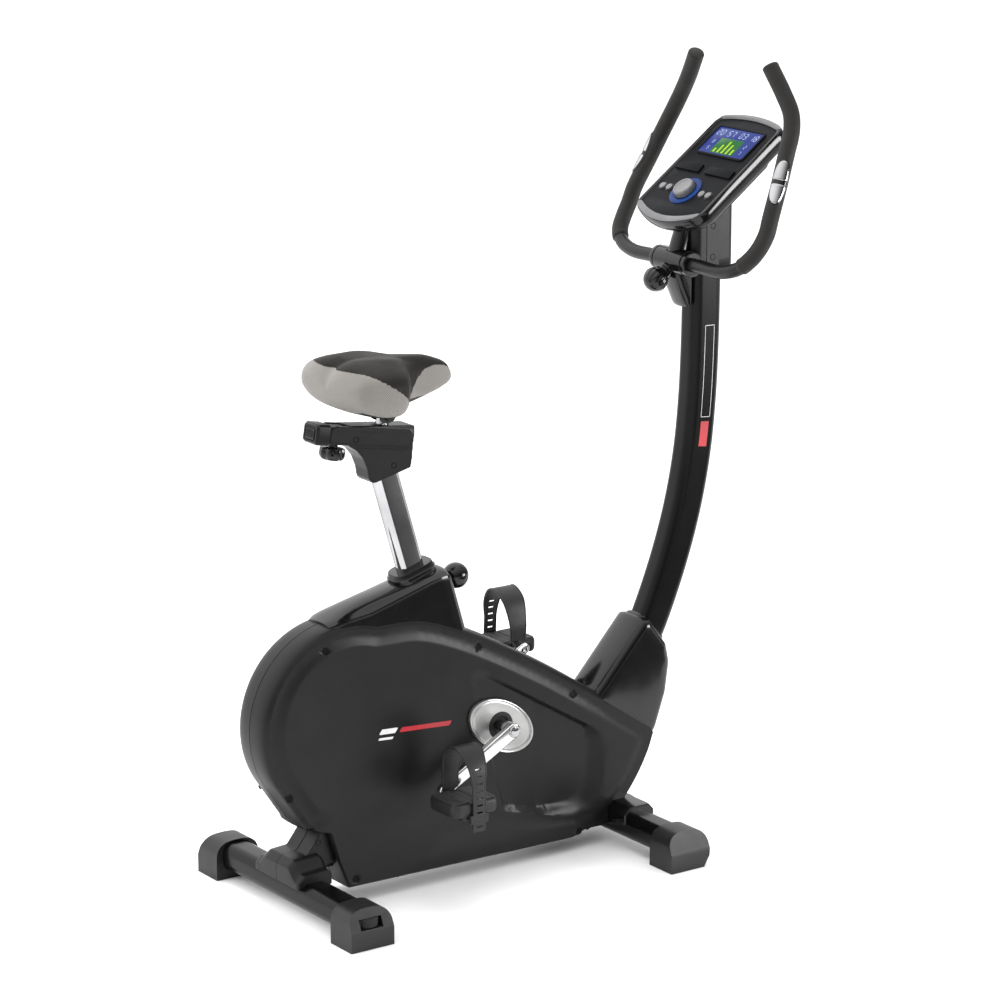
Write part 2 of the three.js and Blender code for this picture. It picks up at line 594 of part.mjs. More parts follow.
// ---------------------------------------------------------------- seat
function seat() {
  const rail = new THREE.Group();
  rail.position.set(RAIL_AT[0], 0, RAIL_AT[1]);
  rail.rotation.y = RAIL_TILT;
  rail.updateMatrix();
  bike.add(rail);
  const toRail = rail.matrix.clone().invert();

  // chrome post with a steel channel welded across its top, drawn in the rail's own frame
  const channelOuter = box(RAIL_STOP + 2, 92, -17, 17, -29, -3);
  const channelBore = join(
    box(RAIL_STOP - 9, 87, -14, 14, -26, -6),
    box(-32, 58, -12.5, 12.5, -8, 0),
    box(RAIL_STOP - 9, -30, -12.5, 12.5, -8, 0),
    rod(xyz(-53, 0, -40), xyz(-53, 0, -20), 4 + GAP),
  );
  const inRail = (body) => body.transform(toRail.elements);
  const { deep, wide } = SEAT_POST;
  const postWall = seatPrism(-240, 290, withHole(seatSection(deep, wide), seatSection(deep - 4, wide - 4)));
  const post = join(cut(inRail(postWall), box(-200, 200, -60, 60, -28, 60)), channelOuter);
  node("seat_post", cut(post, channelBore), CHROME, rail);

  const lower = polygon([
    [117, 812], [134, 802], [150, 776], [152, 750], [164, 745], [240, 760], [243, 800], [247, 822],
  ]);
  const shroud = join(box(RAIL_STOP, 96, -22, 22, -31, 0), inRail(slab(lower, -21, 21)));
  const postRoom = seatPrism(150, 300, seatSection(SEAT_POST.deep + 2 * GAP, SEAT_POST.wide + 2 * GAP));
  const cover = cut(
    shroud,
    box(RAIL_STOP - 1, 92 + GAP, -17 - GAP, 17 + GAP, -29 - GAP, -3 + GAP),
    box(RAIL_STOP - 1, 58, -12.5, 12.5, -8, 3),
    cut(inRail(postRoom), box(-200, 200, -60, 60, -5, 60)),
    rod(xyz(-53, 0, -40), xyz(-53, 0, -20), 5),
  );
  node("seat_guide_cover", cover, HOUSING_GREY, rail);

  // sliding rail with its end block and the chrome stub that carries the saddle
  const slider = cut(
    join(
      box(-104, 22, -13.5, 13.5, -25.5, -6.5),
      box(20, 80, -13.5, 13.5, -25.5, -6.5),
      box(-106, RAIL_STOP - 1, -23, 23, -33, 3),
      rod(xyz(42, 0, -10), xyz(42, 0, 32), 11.5),
    ),
    rod(xyz(42, -30, 24), xyz(42, 30, 24), 5 + GAP),
  );
  node("seat_rail", slider, BLACK_STEEL, rail);

  const clamp = join(
    box(26, 58, 12.5, 16.5, 14, 42),
    box(26, 58, -16.5, -12.5, 14, 42),
    box(2, 82, -22, 22, 36, 41),
    rod(xyz(42, -20, 24), xyz(42, 20, 24), 5),
  );
  node("saddle_clamp", clamp, BLACK_STEEL, rail);

  const knob = join(rod(xyz(-53, 0, -61), xyz(-53, 0, -37), 22), rod(xyz(-53, 0, -39), xyz(-53, 0, -26), 4));
  node("slider_knob", knob, GLOSS_BLACK, rail);

  // padded saddle: wide rear lobes running into a narrow nose
  const plan = new THREE.Shape();
  plan.moveTo(98, 0);
  plan.quadraticCurveTo(82, 40, 96, 70);
  plan.quadraticCurveTo(120, 110, 168, 94);
  plan.quadraticCurveTo(225, 60, 262, 30);
  plan.quadraticCurveTo(300, 22, 326, 10);
  plan.quadraticCurveTo(332, 0, 326, -10);
  plan.quadraticCurveTo(300, -22, 262, -30);
  plan.quadraticCurveTo(225, -60, 168, -94);
  plan.quadraticCurveTo(120, -110, 96, -70);
  plan.quadraticCurveTo(82, -40, 98, 0);
  const pad = new THREE.ExtrudeGeometry(plan, {
    depth: 34,
    bevelSize: 8,
    bevelOffset: -2,
    bevelThickness: 14,
    bevelSegments: 2,
    curveSegments: 3,
  });
  pad.translate(-190, 0, 14);
  pad.rotateY(THREE.MathUtils.degToRad(5));
  pad.translate(190, 0, 889);
  node("saddle", solid(pad), VINYL);

  const plunger = rod(pinAt(SEAT_POST.deep / 2 + GAP), pinAt(70), 6);
  const pull = join(ball(pinAt(84), 23.5), rod(pinAt(58), pinAt(70), 11), plunger);
  node("seat_pin_knob", pull, GLOSS_BLACK);
}

// ---------------------------------------------------------------- mast and handlebar
// One side of the handlebar, from beside the clamp, round and up to the end of the grip.
const BAR_SIDE = [
  [828, 130, 1057], [835, 171, 1068], [846, 191, 1086], [860, 199, 1106], [874, 201, 1130], [884, 199, 1157],
  [910, 189, 1211], [935, 178, 1265], [952, 170, 1302], [960, 158, 1332], [959, 136, 1366], [953, 108, 1408],
];
const barSide = (side, from = 0) => BAR_SIDE.slice(from).map(([x, y, z]) => xyz(x, side * y, z));
const BAR_FACETS = 8;
const GRIP_POINTS = 18; // how many of the bar's points, counted from its end, lie in a grip
const barPoints = new THREE.CatmullRomCurve3([
  ...barSide(-1).reverse(),
  xyz(BAR_AXIS[0], -60, BAR_AXIS[1]),
  xyz(BAR_AXIS[0], 60, BAR_AXIS[1]),
  ...barSide(1),
], false, "centripetal").getSpacedPoints(48);
const CLAMP_SKIRT = [[806, 1052], [852, 1060], [852, 975], [838, 970], [822, 1005], [812, 1030]];
const KNOB_REACH = xyz(-0.84, 0, -0.54).normalize();
const clampAt = (reach) => xyz(BAR_AXIS[0], 0, BAR_AXIS[1]).addScaledVector(KNOB_REACH, reach);

const headBlock = (grow) => raised(roundedRect(89 + 2 * grow, 70 + 2 * grow, 14 + grow), 1036 - grow, 1230, 2)
  .translate([890.5, 0, 0]);

function mast() {
  const clamp = join(crossRod(BAR_AXIS, -24, 24, 18, 20), box(838, 862, -14, 14, 1045, 1069));
  const bore = crossRod(BAR_AXIS, -30, 30, BAR_RADIUS + GAP, 20);
  const tube = mastSweep(withHole(mastSection(0), mastSection(-MAST.wall)));
  const post = join(tube, cut(clamp, mastEnvelope(-MAST.wall)));
  node("console_post", cut(post, bore, consoleSpace), BLACK_STEEL);

  const tongueRoom = box(800, 862, -14 - GAP, 14 + GAP, 1020, 1069 + GAP);
  const head = cut(headBlock(0), mastEnvelope(GAP), consoleSpace, tongueRoom);
  node("mast_head", head, HOUSING_GREY);

  const shells = cut(
    join(
      crossRod(BAR_AXIS, -50, 50, 23, 20),
      rod(xyz(836, 0, 1050), xyz(836, 0, 1220), 18),
      slab(polygon(CLAMP_SKIRT), -26, 26),
    ),
    crossRod(BAR_AXIS, -24.6, 24.6, 18.6, 20),
    crossRod(BAR_AXIS, -60, 60, BAR_RADIUS + 0.8, 20),
    rod(clampAt(0), clampAt(60), 7),
    mastEnvelope(GAP),
    headBlock(GAP),
    box(836, 862, -14.3, 14.3, 1044, 1070),
    consoleSpace,
  );
  node("clamp_cover_left", cut(shells, box(700, 1000, -99, GAP / 2, 900, 1300)), GLOSS_BLACK);
  node("clamp_cover_right", cut(shells, box(700, 1000, -GAP / 2, 99, 900, 1300)), GLOSS_BLACK);

  const screw = rod(clampAt(18.5), clampAt(40), 5);
  const knob = join(ball(clampAt(53.5), 22.5), rod(clampAt(28), clampAt(50), 11), screw);
  node("handlebar_knob", knob, GLOSS_BLACK);
}

function handlebar() {
  const along = (points, section) => sweep(points, section, points.length - 1, BAR_FACETS / 2);
  const wall = withHole(disc(BAR_RADIUS), disc(BAR_RADIUS - 2));
  node("handlebar_tube", along(barPoints, wall), BLACK_STEEL);

  // foam grip: a sleeve over the bar, closed by a plug beyond the bar's end
  const held = barPoints.slice(-GRIP_POINTS);
  const [before, end] = held.slice(-2);
  const onward = end.clone().sub(before).normalize();
  const beyond = (reach) => end.clone().addScaledVector(onward, reach);
  const ring = withHole(disc(GRIP_RADIUS), disc(14.2));
  const plug = cut(
    rod(beyond(-2), beyond(5), GRIP_RADIUS - 0.2, 16),
    rod(beyond(-3), beyond(1.5), BAR_RADIUS + 1, 16),
  );
  pair("grip", join(along(held, ring), plug), FOAM);

  // oval pulse sensor lying on the outer rear side of the grip
  const at = xyz(911, 188.5, 1214.5);
  const upward = xyz(26, -10, 54).normalize();
  const out = xyz(-0.7, 0.7, 0);
  out.addScaledVector(upward, -out.dot(upward)).normalize();
  const oval = new THREE.Shape();
  oval.absellipse(0, 0, 43, 16, 0, 2 * Math.PI);
  const pad = new THREE.ExtrudeGeometry(oval, { depth: 10, bevelEnabled: false, curveSegments: 8 });
  const basis = new THREE.Matrix4().makeBasis(upward, out.clone().cross(upward), out);
  const sensor = cut(
    solid(pad, basis.setPosition(at.clone().addScaledVector(out, 8))),
    along(held, disc(GRIP_RADIUS + 1.5)),
  );
  pair("pulse_sensor", sensor, CHROME);
}

// ---------------------------------------------------------------- console, in its face's own frame
// Local X runs up the face, local Y to the rider's left and local Z out of the face.
function faceShape(inset) {
  const half = 97 - inset;
  const shape = new THREE.Shape();
  shape.moveTo(-178 + inset, -half);
  shape.quadraticCurveTo(-240 + 2 * inset, 0, -178 + inset, half);
  shape.lineTo(57 - inset, half - 4);
  shape.quadraticCurveTo(89 - 1.5 * inset, 0, 57 - inset, -half + 4);
  return shape;
}

function consoleUnit() {
  const unit = new THREE.Group();
  unit.position.set(CONSOLE_AT[0], 0, CONSOLE_AT[1]);
  unit.rotation.y = -CONSOLE_TILT;
  bike.add(unit);

  const upright = (x, y, z0, z1, radius, sides) => rod(xyz(x, y, z0), xyz(x, y, z1), radius, sides);
  const buttons = [-66, -47, 47, 66];
  const front = cut(
    raised(faceShape(0), -CASE_DEPTH, 0),
    raised(faceShape(3.5), -CASE_DEPTH - 1, -4),
    box(-33, 33, -63, 63, -2.3, 1),
    box(-30, 30, -60, 60, -10, 1),
    upright(CONTROL_ROW, 0, -10, 5, 4),
    ...buttons.map((y) => upright(CONTROL_ROW, y, -10, 5, 7 + GAP)),
  );
  node("console_case_front", front, HOUSING_GREY, unit);

  const back = cut(
    join(
      raised(faceShape(1), -CASE_DEPTH - 4, -CASE_DEPTH - GAP),
      box(-140, 20, -56, 56, -CASE_BACK_DEPTH, -CASE_DEPTH - 2),
    ),
    box(-137, 17, -53, 53, -CASE_BACK_DEPTH + 3, 0),
  );
  node("console_case_back", back, HOUSING_GREY, unit);
  node("screen_lens", box(-32.6, 32.6, -62.6, 62.6, -2, 0.4), SCREEN, unit);

  const dial = join(upright(CONTROL_ROW, 0, 1, 12, 21, 24), upright(CONTROL_ROW, 0, -9, 2, 4 - GAP));
  node("console_dial", dial, BUTTON, unit);
  buttons.forEach((y, i) => {
    node(`console_button_${i + 1}`, upright(CONTROL_ROW, y, -7, 2, 7), BUTTON, unit);
  });
}

baseFrame();
seatTube();
feet();
endCaps();
housing();
drive();
crankSide("left", 1);
crankSide("right", -1);
seat();
mast();
handlebar();
consoleUnit();
bike.position.x = -FOOTPRINT_CENTRE;

export default bike;
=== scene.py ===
"""Looks for the upright exercise bike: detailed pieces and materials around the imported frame.

Shapes are written in millimetres. X runs forward from the middle of the rear stabiliser, Y to the
rider's left and Z up from the floor; at() turns them into the frame's own metres.
"""
import math

import bmesh
import bpy
import numpy as np
from mathutils import Matrix, Vector, geometry
from mathutils.kdtree import KDTree


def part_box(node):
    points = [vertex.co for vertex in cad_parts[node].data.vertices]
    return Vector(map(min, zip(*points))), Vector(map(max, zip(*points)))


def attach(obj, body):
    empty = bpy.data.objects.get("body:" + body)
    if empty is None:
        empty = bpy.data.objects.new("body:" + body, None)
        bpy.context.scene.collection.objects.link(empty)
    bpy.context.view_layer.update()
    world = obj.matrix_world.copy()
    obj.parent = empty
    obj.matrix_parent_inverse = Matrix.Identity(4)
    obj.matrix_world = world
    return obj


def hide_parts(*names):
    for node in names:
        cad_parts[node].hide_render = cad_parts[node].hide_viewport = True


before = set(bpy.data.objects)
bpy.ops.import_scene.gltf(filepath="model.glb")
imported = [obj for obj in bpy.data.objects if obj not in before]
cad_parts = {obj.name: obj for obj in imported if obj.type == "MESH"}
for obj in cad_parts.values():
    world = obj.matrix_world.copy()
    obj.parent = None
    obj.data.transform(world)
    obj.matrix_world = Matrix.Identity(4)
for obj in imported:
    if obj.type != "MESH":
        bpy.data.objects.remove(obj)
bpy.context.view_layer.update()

# ------------------------------------------------------------------ driving dimensions
REAR_LOW, REAR_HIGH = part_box("rear_stabiliser")
ORIGIN_X = (REAR_LOW.x + REAR_HIGH.x) / 2
FRONT_X = 682.65  # front stabiliser
HALF = 50  # half the housing's width
FLYWHEEL = (95, 330)
HOUSING_RADIUS = 180
CRANK = (406, 271)
CRANK_LENGTH = 170
CRANK_ANGLE = math.radians(209.3)
SEAT_LEAN = math.radians(16.7)
SEAT_BASE = (253.4, 560)
RAIL_AT = (150, 843)
RAIL_TILT = math.radians(9.6)
BAR_AXIS = (828, 1057)
CONSOLE_AT = (951, 1259.5)
CONSOLE_TILT = math.radians(36.6)
SIDES = (("left", 1), ("right", -1))


def at(x, y, z):
    """A place in millimetres as a point of the frame."""
    return Vector((ORIGIN_X + x / 1000, y / 1000, z / 1000))


def in_mm(point):
    """A point of the frame as a place in millimetres."""
    return Vector(((point.x - ORIGIN_X) * 1000, point.y * 1000, point.z * 1000))


# ------------------------------------------------------------------ materials
FINISHES = {}


class Nodes:
    """A short way to write a material's node tree."""

    def __init__(self, name):
        self.material = bpy.data.materials.new(name)
        self.material.use_nodes = True
        self.tree = self.material.node_tree
        self.shader = self.tree.nodes["Principled BSDF"]
        self.where = self.add("ShaderNodeTexCoord").outputs["Object"]

    def add(self, kind, **values):
        node = self.tree.nodes.new(kind)
        for key, value in values.items():
            if hasattr(node, key):
                setattr(node, key, value)
            else:
                self.feed(node.inputs[key.replace("_", " ")], value)
        return node

    def feed(self, socket, value):
        if isinstance(value, bpy.types.NodeSocket):
            self.tree.links.new(value, socket)
        else:
            socket.default_value = value

    def noise(self, scale, detail=3.0, stretch=None):
        vector = self.where
        if stretch:
            vector = self.add("ShaderNodeMapping", Vector=self.where, Scale=stretch).outputs[0]
        return self.add("ShaderNodeTexNoise", Vector=vector, Scale=scale, Detail=detail).outputs["Fac"]

    def cells(self, scale, feature="F1"):
        node = self.add("ShaderNodeTexVoronoi", Vector=self.where, Scale=scale, feature=feature)
        return node.outputs["Distance"]

    def span(self, value, low, high, start=0.3, end=0.7):
        node = self.add("ShaderNodeMapRange")
        for key, number in zip((1, 2, 3, 4), (start, end, low, high)):
            node.inputs[key].default_value = number
        self.feed(node.inputs[0], value)
        return node.outputs[0]

    def math(self, operation, a, b=0.5):
        node = self.add("ShaderNodeMath", operation=operation)
        self.feed(node.inputs[0], a)
        self.feed(node.inputs[1], b)
        return node.outputs[0]

    def mix(self, factor, a, b):
        node = self.add("ShaderNodeMix", data_type="RGBA")
        self.feed(node.inputs[0], factor)
        self.feed(node.inputs[6], (*a, 1) if isinstance(a, tuple) else a)
        self.feed(node.inputs[7], (*b, 1) if isinstance(b, tuple) else b)
        return node.outputs[2]

    def bump(self, height, strength, distance):
        normal = self.shader.inputs["Normal"]
        node = self.add("ShaderNodeBump", Height=height, Strength=strength, Distance=distance)
        if normal.is_linked:
            self.feed(node.inputs["Normal"], normal.links[0].from_socket)
        self.feed(normal, node.outputs[0])

    def set(self, **values):
        for key, value in values.items():
            self.feed(self.shader.inputs[key.replace("_", " ")], value)


def shaded(color, factor):
    return tuple(c * factor for c in color)


def finish(
    name, slot, color, roughness, metallic=0.0, coat=0.0, grain=1200, relief=0.1, spread=0.05, shine=0.5,
):
    """A plain moulded, painted or plated surface: mottled colour, uneven gloss and fine relief."""
    nodes = Nodes(name)
    nodes.set(Specular_IOR_Level=shine)
    tone = nodes.span(nodes.noise(14), 0, 1)
    nodes.set(Base_Color=nodes.mix(tone, shaded(color, 0.82), shaded(color, 1.18)))
    uneven = nodes.span(nodes.noise(38, 4), roughness - spread, roughness + spread)
    nodes.set(Roughness=uneven, Metallic=metallic, Coat_Weight=coat, Coat_Roughness=0.06)
    nodes.bump(nodes.noise(grain, 2), relief, 0.0002)
    FINISHES[name] = (nodes.material, slot)
    return nodes


finish(
    "powder_coat", "black_steel", (0.006, 0.006, 0.006), 0.36,
    grain=1600, relief=0.1, spread=0.02, shine=0.3,
)
finish(
    "mast_paint", "black_steel", (0.003, 0.003, 0.003), 0.24,
    grain=900, relief=0.015, spread=0.01, shine=0.16,
)
finish(
    "gloss_black", "gloss_black", (0.0035, 0.0035, 0.0037), 0.15,
    coat=0.1, grain=140, relief=0.02, spread=0.02, shine=0.34,
)
finish(
    "shell", "charcoal_shell", (0.0068, 0.0068, 0.007), 0.36,
    grain=2600, relief=0.16, spread=0.02, shine=0.2,
)
finish(
    "cap_plastic", "cap_grey", (0.011, 0.011, 0.0108), 0.42,
    grain=1500, relief=0.25, spread=0.03, shine=0.3,
)
plated = finish("chrome", "chrome", (0.42, 0.42, 0.43), 0.1, metallic=1.0, grain=60, relief=0.01, spread=0.02)
plated.set(Specular_Tint=(0.35, 0.35, 0.35, 1))
finish("rubber", "rubber", (0.009, 0.009, 0.0093), 0.68, grain=1900, relief=0.45, shine=0.35)
finish("iron", "cast_iron", (0.09, 0.09, 0.095), 0.42, metallic=0.9, grain=500, relief=0.3)
finish("strap", "strap", (0.014, 0.014, 0.0148), 0.48, grain=1500, relief=0.3, shine=0.32)
finish("button", "button", (0.17, 0.168, 0.17), 0.36, metallic=0.35, grain=2000, relief=0.1, shine=0.35)
finish("trim_silver", "satin_silver", (0.15, 0.15, 0.155), 0.36, metallic=0.6, grain=2400, relief=0.12)
finish(
    "face", "charcoal_shell", (0.0035, 0.0038, 0.0052), 0.46,
    grain=2600, relief=0.08, spread=0.02, shine=0.07,
)
finish("grey_card", "charcoal_shell", (0.03, 0.03, 0.03), 0.8, shine=0.1)
# near-black paint for the screw wells and their rims: painted shade in the recesses
finish("painted_shade_well", "charcoal_shell", (0.002, 0.002, 0.002), 0.6, shine=0.1)
finish("print_white", "charcoal_shell", (0.62, 0.62, 0.63), 0.45)
finish("print_red", "charcoal_shell", (0.42, 0.006, 0.016), 0.45)
finish("dial_blue", "button", (0.003, 0.024, 0.12), 0.35, shine=0.15)

brushed = finish("polished_steel", "polished_steel", (0.70, 0.70, 0.70), 0.16, metallic=1.0, relief=0.02)
brushed.bump(brushed.noise(300, 2, (0.25, 1, 1)), 0.08, 0.0002)

satin = finish(
    "satin_disc", "satin_silver", (0.36, 0.36, 0.355), 0.30, metallic=0.85, relief=0.01, spread=0.015,
)
satin.bump(satin.noise(900, 2, (1, 0.1, 1)), 0.03, 0.0001)

foam = finish("foam", "grip_foam", (0.0105, 0.0095, 0.0088), 0.58, grain=900, relief=0.3, shine=0.3)
foam.bump(foam.cells(1500), 0.4, 0.0005)
foam.set(Sheen_Weight=0.02)

vinyl = finish("vinyl", "saddle_vinyl", (0.013, 0.0115, 0.0105), 0.55, grain=2200, relief=0.2, shine=0.12)
vinyl.bump(vinyl.cells(700, "SMOOTH_F1"), 0.3, 0.0004)
vinyl.set(Sheen_Weight=0.01)


def woven_mesh():
    """Silver-grey spacer mesh: small open cells between two crossing sets of yarns, the cells painted dark as
    painted shade.
    """
    nodes = Nodes("spacer_mesh")
    bands = []
    unrolled = nodes.add("ShaderNodeUVMap", uv_map="weave").outputs[0]
    for turn in (math.radians(35), math.radians(-35)):
        lie = nodes.add("ShaderNodeMapping", Vector=unrolled, Rotation=(0, 0, turn))
        wave = nodes.add("ShaderNodeTexWave", Vector=lie.outputs[0], Scale=138, Distortion=0.2)
        wave.bands_direction = "X"
        bands.append(wave.outputs["Fac"])
    yarn = nodes.math("MAXIMUM", *bands)
    # painted shade: the open cells between the yarns take the near-black colour
    colour = nodes.mix(nodes.span(yarn, 0, 1, 0.45, 0.85), (0.020, 0.018, 0.017), (0.25, 0.235, 0.215))
    shade = nodes.span(nodes.noise(16), 0, 1)
    nodes.set(Base_Color=nodes.mix(shade, colour, (0.175, 0.164, 0.15)), Roughness=0.62)
    shader_mix = nodes.shader.inputs["Base Color"].links[0].from_node
    shader_mix.inputs[0].default_value = 0.25
    nodes.set(Sheen_Weight=0.1)
    nodes.bump(yarn, 0.5, 0.0006)
    FINISHES["spacer_mesh"] = (nodes.material, "saddle_mesh")


def tread():
    """Pedal top: rubber with small chevron ridges, its grooves painted darker than the ridge tops as painted
    shade.
    """
    nodes = Nodes("pedal_tread")
    split = nodes.add("ShaderNodeSeparateXYZ", Vector=nodes.where)
    fold = nodes.math("PINGPONG", split.outputs[0], 0.006)
    slant = nodes.math("ADD", fold, split.outputs[1])
    ridge = nodes.math("PINGPONG", slant, 0.0016)
    height = nodes.span(ridge, 0, 1, 0.0004, 0.0012)
    # painted shade: colour follows the ridge height, darker in the grooves and lighter on the tops
    nodes.set(Base_Color=nodes.mix(height, (0.008, 0.008, 0.008), (0.035, 0.035, 0.035)), Roughness=0.6)
    nodes.bump(height, 0.9, 0.0012)
    FINISHES["pedal_tread"] = (nodes.material, "rubber")


def glowing(name, color, strength):
    nodes = Nodes(name)
    speck = nodes.span(nodes.noise(700, 1), 0.85, 1.1)
    nodes.set(Base_Color=(*shaded(color, 0.3), 1), Roughness=0.3, Emission_Color=(*color, 1))
    nodes.set(Emission_Strength=nodes.math("MULTIPLY", speck, strength), Specular_IOR_Level=0.15)
    FINISHES[name] = (nodes.material, "screen")


woven_mesh()
tread()
glowing("screen_blue", (0.022, 0.042, 0.24), 0.55)
glowing("screen_green", (0.012, 0.12, 0.025), 0.8)
glowing("screen_lime", (0.42, 0.62, 0.02), 0.9)
glowing("screen_digit", (0.38, 0.46, 0.72), 0.8)


# ------------------------------------------------------------------ shapes: (points, faces) in mm
def merge(*shapes):
    points, faces = [], []
    for more, their_faces in shapes:
        start = len(points)
        points.extend(tuple(p) for p in more)
        faces.extend([tuple(start + i for i in face) for face in their_faces])
    return points, faces


def loft(rings, caps=True, around=True):
    """Quads between rings of equal length; around closes each ring on itself."""
    size = len(rings[0])
    points = [tuple(p) for ring in rings for p in ring]
    steps = size if around else size - 1
    faces = []
    for k in range(len(rings) - 1):
        for i in range(steps):
            j = (i + 1) % size
            faces.append((k * size + i, k * size + j, (k + 1) * size + j, (k + 1) * size + i))
    if caps:
        faces.append(tuple(reversed(range(size))))
        faces.append(tuple(range((len(rings) - 1) * size, len(rings) * size)))
    return points, faces


def placing(origin, x_axis, y_axis, z_axis):
    """The matrix that sets a shape down at a point, with its own axes along the given ones."""
    return Matrix.Translation(origin) @ Matrix((x_axis, y_axis, z_axis)).transposed().to_4x4()


def moved(shape, matrix):
    return [tuple(matrix @ Vector(p)) for p in shape[0]], shape[1]


def mirrored(shape):
    return [(x, -y, z) for x, y, z in shape[0]], [tuple(reversed(f)) for f in shape[1]]


def sided(shape, side):
    """A shape drawn for the left side, on the side asked for."""
    return shape if side > 0 else mirrored(shape)


def extruded(outline, y0, y1):
    """A side-view (X, Z) outline between two Y planes."""
    return loft([[(x, y, z) for x, z in outline] for y in (y0, y1)])


def block(x0, x1, y0, y1, z0, z1):
    return extruded([(x0, z0), (x1, z0), (x1, z1), (x0, z1)], y0, y1)


def axes(direction, side=(0, 1, 0)):
    """Two unit vectors across a direction; the first is the nearest to side."""
    forward = Vector(direction).normalized()
    across = Vector(side) - forward * Vector(side).dot(forward)
    if across.length < 1e-4:
        across = forward.orthogonal()
    across.normalize()
    return across, forward.cross(across)


def turned(base, direction, profile, sides=40, ripple=None):
    """Rings of [radius, distance] about an axis. ripple(angle, k) scales a radius."""
    base = Vector(base)
    forward = Vector(direction).normalized()
    across, up = axes(direction, (0, 0, 1))
    rings = []
    for k, (radius, distance) in enumerate(profile):
        ring = []
        for i in range(sides):
            angle = 2 * math.pi * i / sides
            reach = radius * (ripple(angle, k) if ripple else 1)
            ring.append(base + forward * distance + (across * math.cos(angle) + up * math.sin(angle)) * reach)
        rings.append(ring)
    return loft(rings)


def fluted(depth, count, first, last):
    """A ripple for turned(): count even flutes on the rings from first to last."""
    def ripple(angle, k):
        return 1 + (depth * math.cos(count * angle) if first <= k <= last else 0)

    return ripple


def ball(radius, middle, start, end, count):
    """A ball's profile for turned(), between two angles in degrees from its base."""
    angles = np.radians(np.linspace(start, end, count))
    return [(radius * math.sin(a), middle - radius * math.cos(a)) for a in angles]


def rod(start, end, radius, sides=32):
    along = Vector(end) - Vector(start)
    return turned(start, along, [(radius, 0), (radius, along.length)], sides)


def smooth_path(points, count):
    """Evenly spaced points on a centripetal Catmull-Rom curve through the given ones."""
    p = np.array(points, float)
    p = np.vstack([2 * p[0] - p[1], p, 2 * p[-1] - p[-2]])
    dense = []
    for a, b, c, d in zip(p, p[1:], p[2:], p[3:]):
        knots = [0.0]
        for s, e in ((a, b), (b, c), (c, d)):
            knots.append(knots[-1] + max(np.linalg.norm(e - s), 1e-6) ** 0.5)
        t0, t1, t2, t3 = knots
        for t in np.linspace(t1, t2, 24, endpoint=False):
            ab = ((t1 - t) * a + (t - t0) * b) / (t1 - t0)
            bc = ((t2 - t) * b + (t - t1) * c) / (t2 - t1)
            cd = ((t3 - t) * c + (t - t2) * d) / (t3 - t2)
            abc = ((t2 - t) * ab + (t - t0) * bc) / (t2 - t0)
            bcd = ((t3 - t) * bc + (t - t1) * cd) / (t3 - t1)
            dense.append(((t2 - t) * abc + (t - t1) * bcd) / (t2 - t1))
    dense.append(p[-2])
    return resampled(dense, count)


def resampled(points, count, closed=False):
    p = np.array(points, float)
    if closed:
        p = np.vstack([p, p[:1]])
    run = np.concatenate([[0], np.cumsum(np.linalg.norm(np.diff(p, axis=0), axis=1))])
    stops = np.linspace(0, run[-1], count + 1)[:-1] if closed else np.linspace(0, run[-1], count)
    return np.stack([np.interp(stops, run, p[:, k]) for k in range(p.shape[1])], axis=1)


def swept(path, section, side=(0, 1, 0)):
    """A (a, b) section along a path. a stays as near to side as it can; section may be a function of 0..1."""
    path = [Vector(p) for p in path]
    rings = []
    across = Vector(side)
    for i, here in enumerate(path):
        heading = path[min(i + 1, len(path) - 1)] - path[max(i - 1, 0)]
        across, up = axes(heading, across)
        shape = section(i / (len(path) - 1)) if callable(section) else section
        rings.append([here + across * a + up * b for a, b in shape])
    return loft(rings)


def arc(cx, cy, radius, start, end, steps):
    angles = np.radians(np.linspace(start, end, steps + 1))
    return [(cx + radius * math.cos(a), cy + radius * math.sin(a)) for a in angles]


def circle(radius, sides=24):
    return arc(0, 0, radius, 0, 360, sides)[:-1]


def rounded_rect(wide, high, radius, steps=8):
    a, b = wide / 2 - radius, high / 2 - radius
    points = []
    for k, (x, y) in enumerate(((a, b), (-a, b), (-a, -b), (a, -b))):
        points += arc(x, y, radius, 90 * k, 90 * k + 90, steps)
    return points


def stack(wide, high, corner, profile, steps=8, x=0, y=0):
    """Rings of rounded oblongs, one above another. profile is (how much each is grown, its height)."""
    rings = []
    for grow, z in profile:
        outline = rounded_rect(wide + 2 * grow, high + 2 * grow, max(corner + grow, 1), steps)
        rings.append([(x + a, y + b, z) for a, b in outline])
    return rings


def rounded(outline, radius, steps=5):
    """A polygon with its corners rounded; radius is one number, or one for each corner."""
    p = [Vector(q) for q in outline]
    radii = radius if isinstance(radius, (list, tuple)) else [radius] * len(p)
    points = []
    for i, corner in enumerate(p):
        before, after = p[i - 1], p[(i + 1) % len(p)]
        a = (before - corner).normalized()
        b = (after - corner).normalized()
        half = a.angle(b) / 2
        shorter = min((before - corner).length, (after - corner).length)
        reach = min(radii[i] / math.tan(half), 0.48 * shorter)
        if reach < 0.05:
            points.append(tuple(corner))
            continue
        start, end = corner + a * reach, corner + b * reach
        for t in np.linspace(0, 1, steps + 1):
            points.append(tuple(start * (1 - t) ** 2 + corner * 2 * t * (1 - t) + end * t ** 2))
    return points


def link(first, r1, second, r2, steps=16):
    """The outline around two circles and their outer tangents."""
    heading = math.degrees(math.atan2(second[1] - first[1], second[0] - first[0]))
    spread = math.degrees(math.acos((r1 - r2) / math.dist(first, second)))
    ends = arc(*second, r2, heading - spread, heading + spread, steps)
    return arc(*first, r1, heading + spread, heading - spread + 360, steps) + ends


# ------------------------------------------------------------------ pieces
WELD = 2e-6  # metres


def linked(name, data):
    """A new object in the scene."""
    obj = bpy.data.objects.new(name, data)
    bpy.context.scene.collection.objects.link(obj)
    return obj


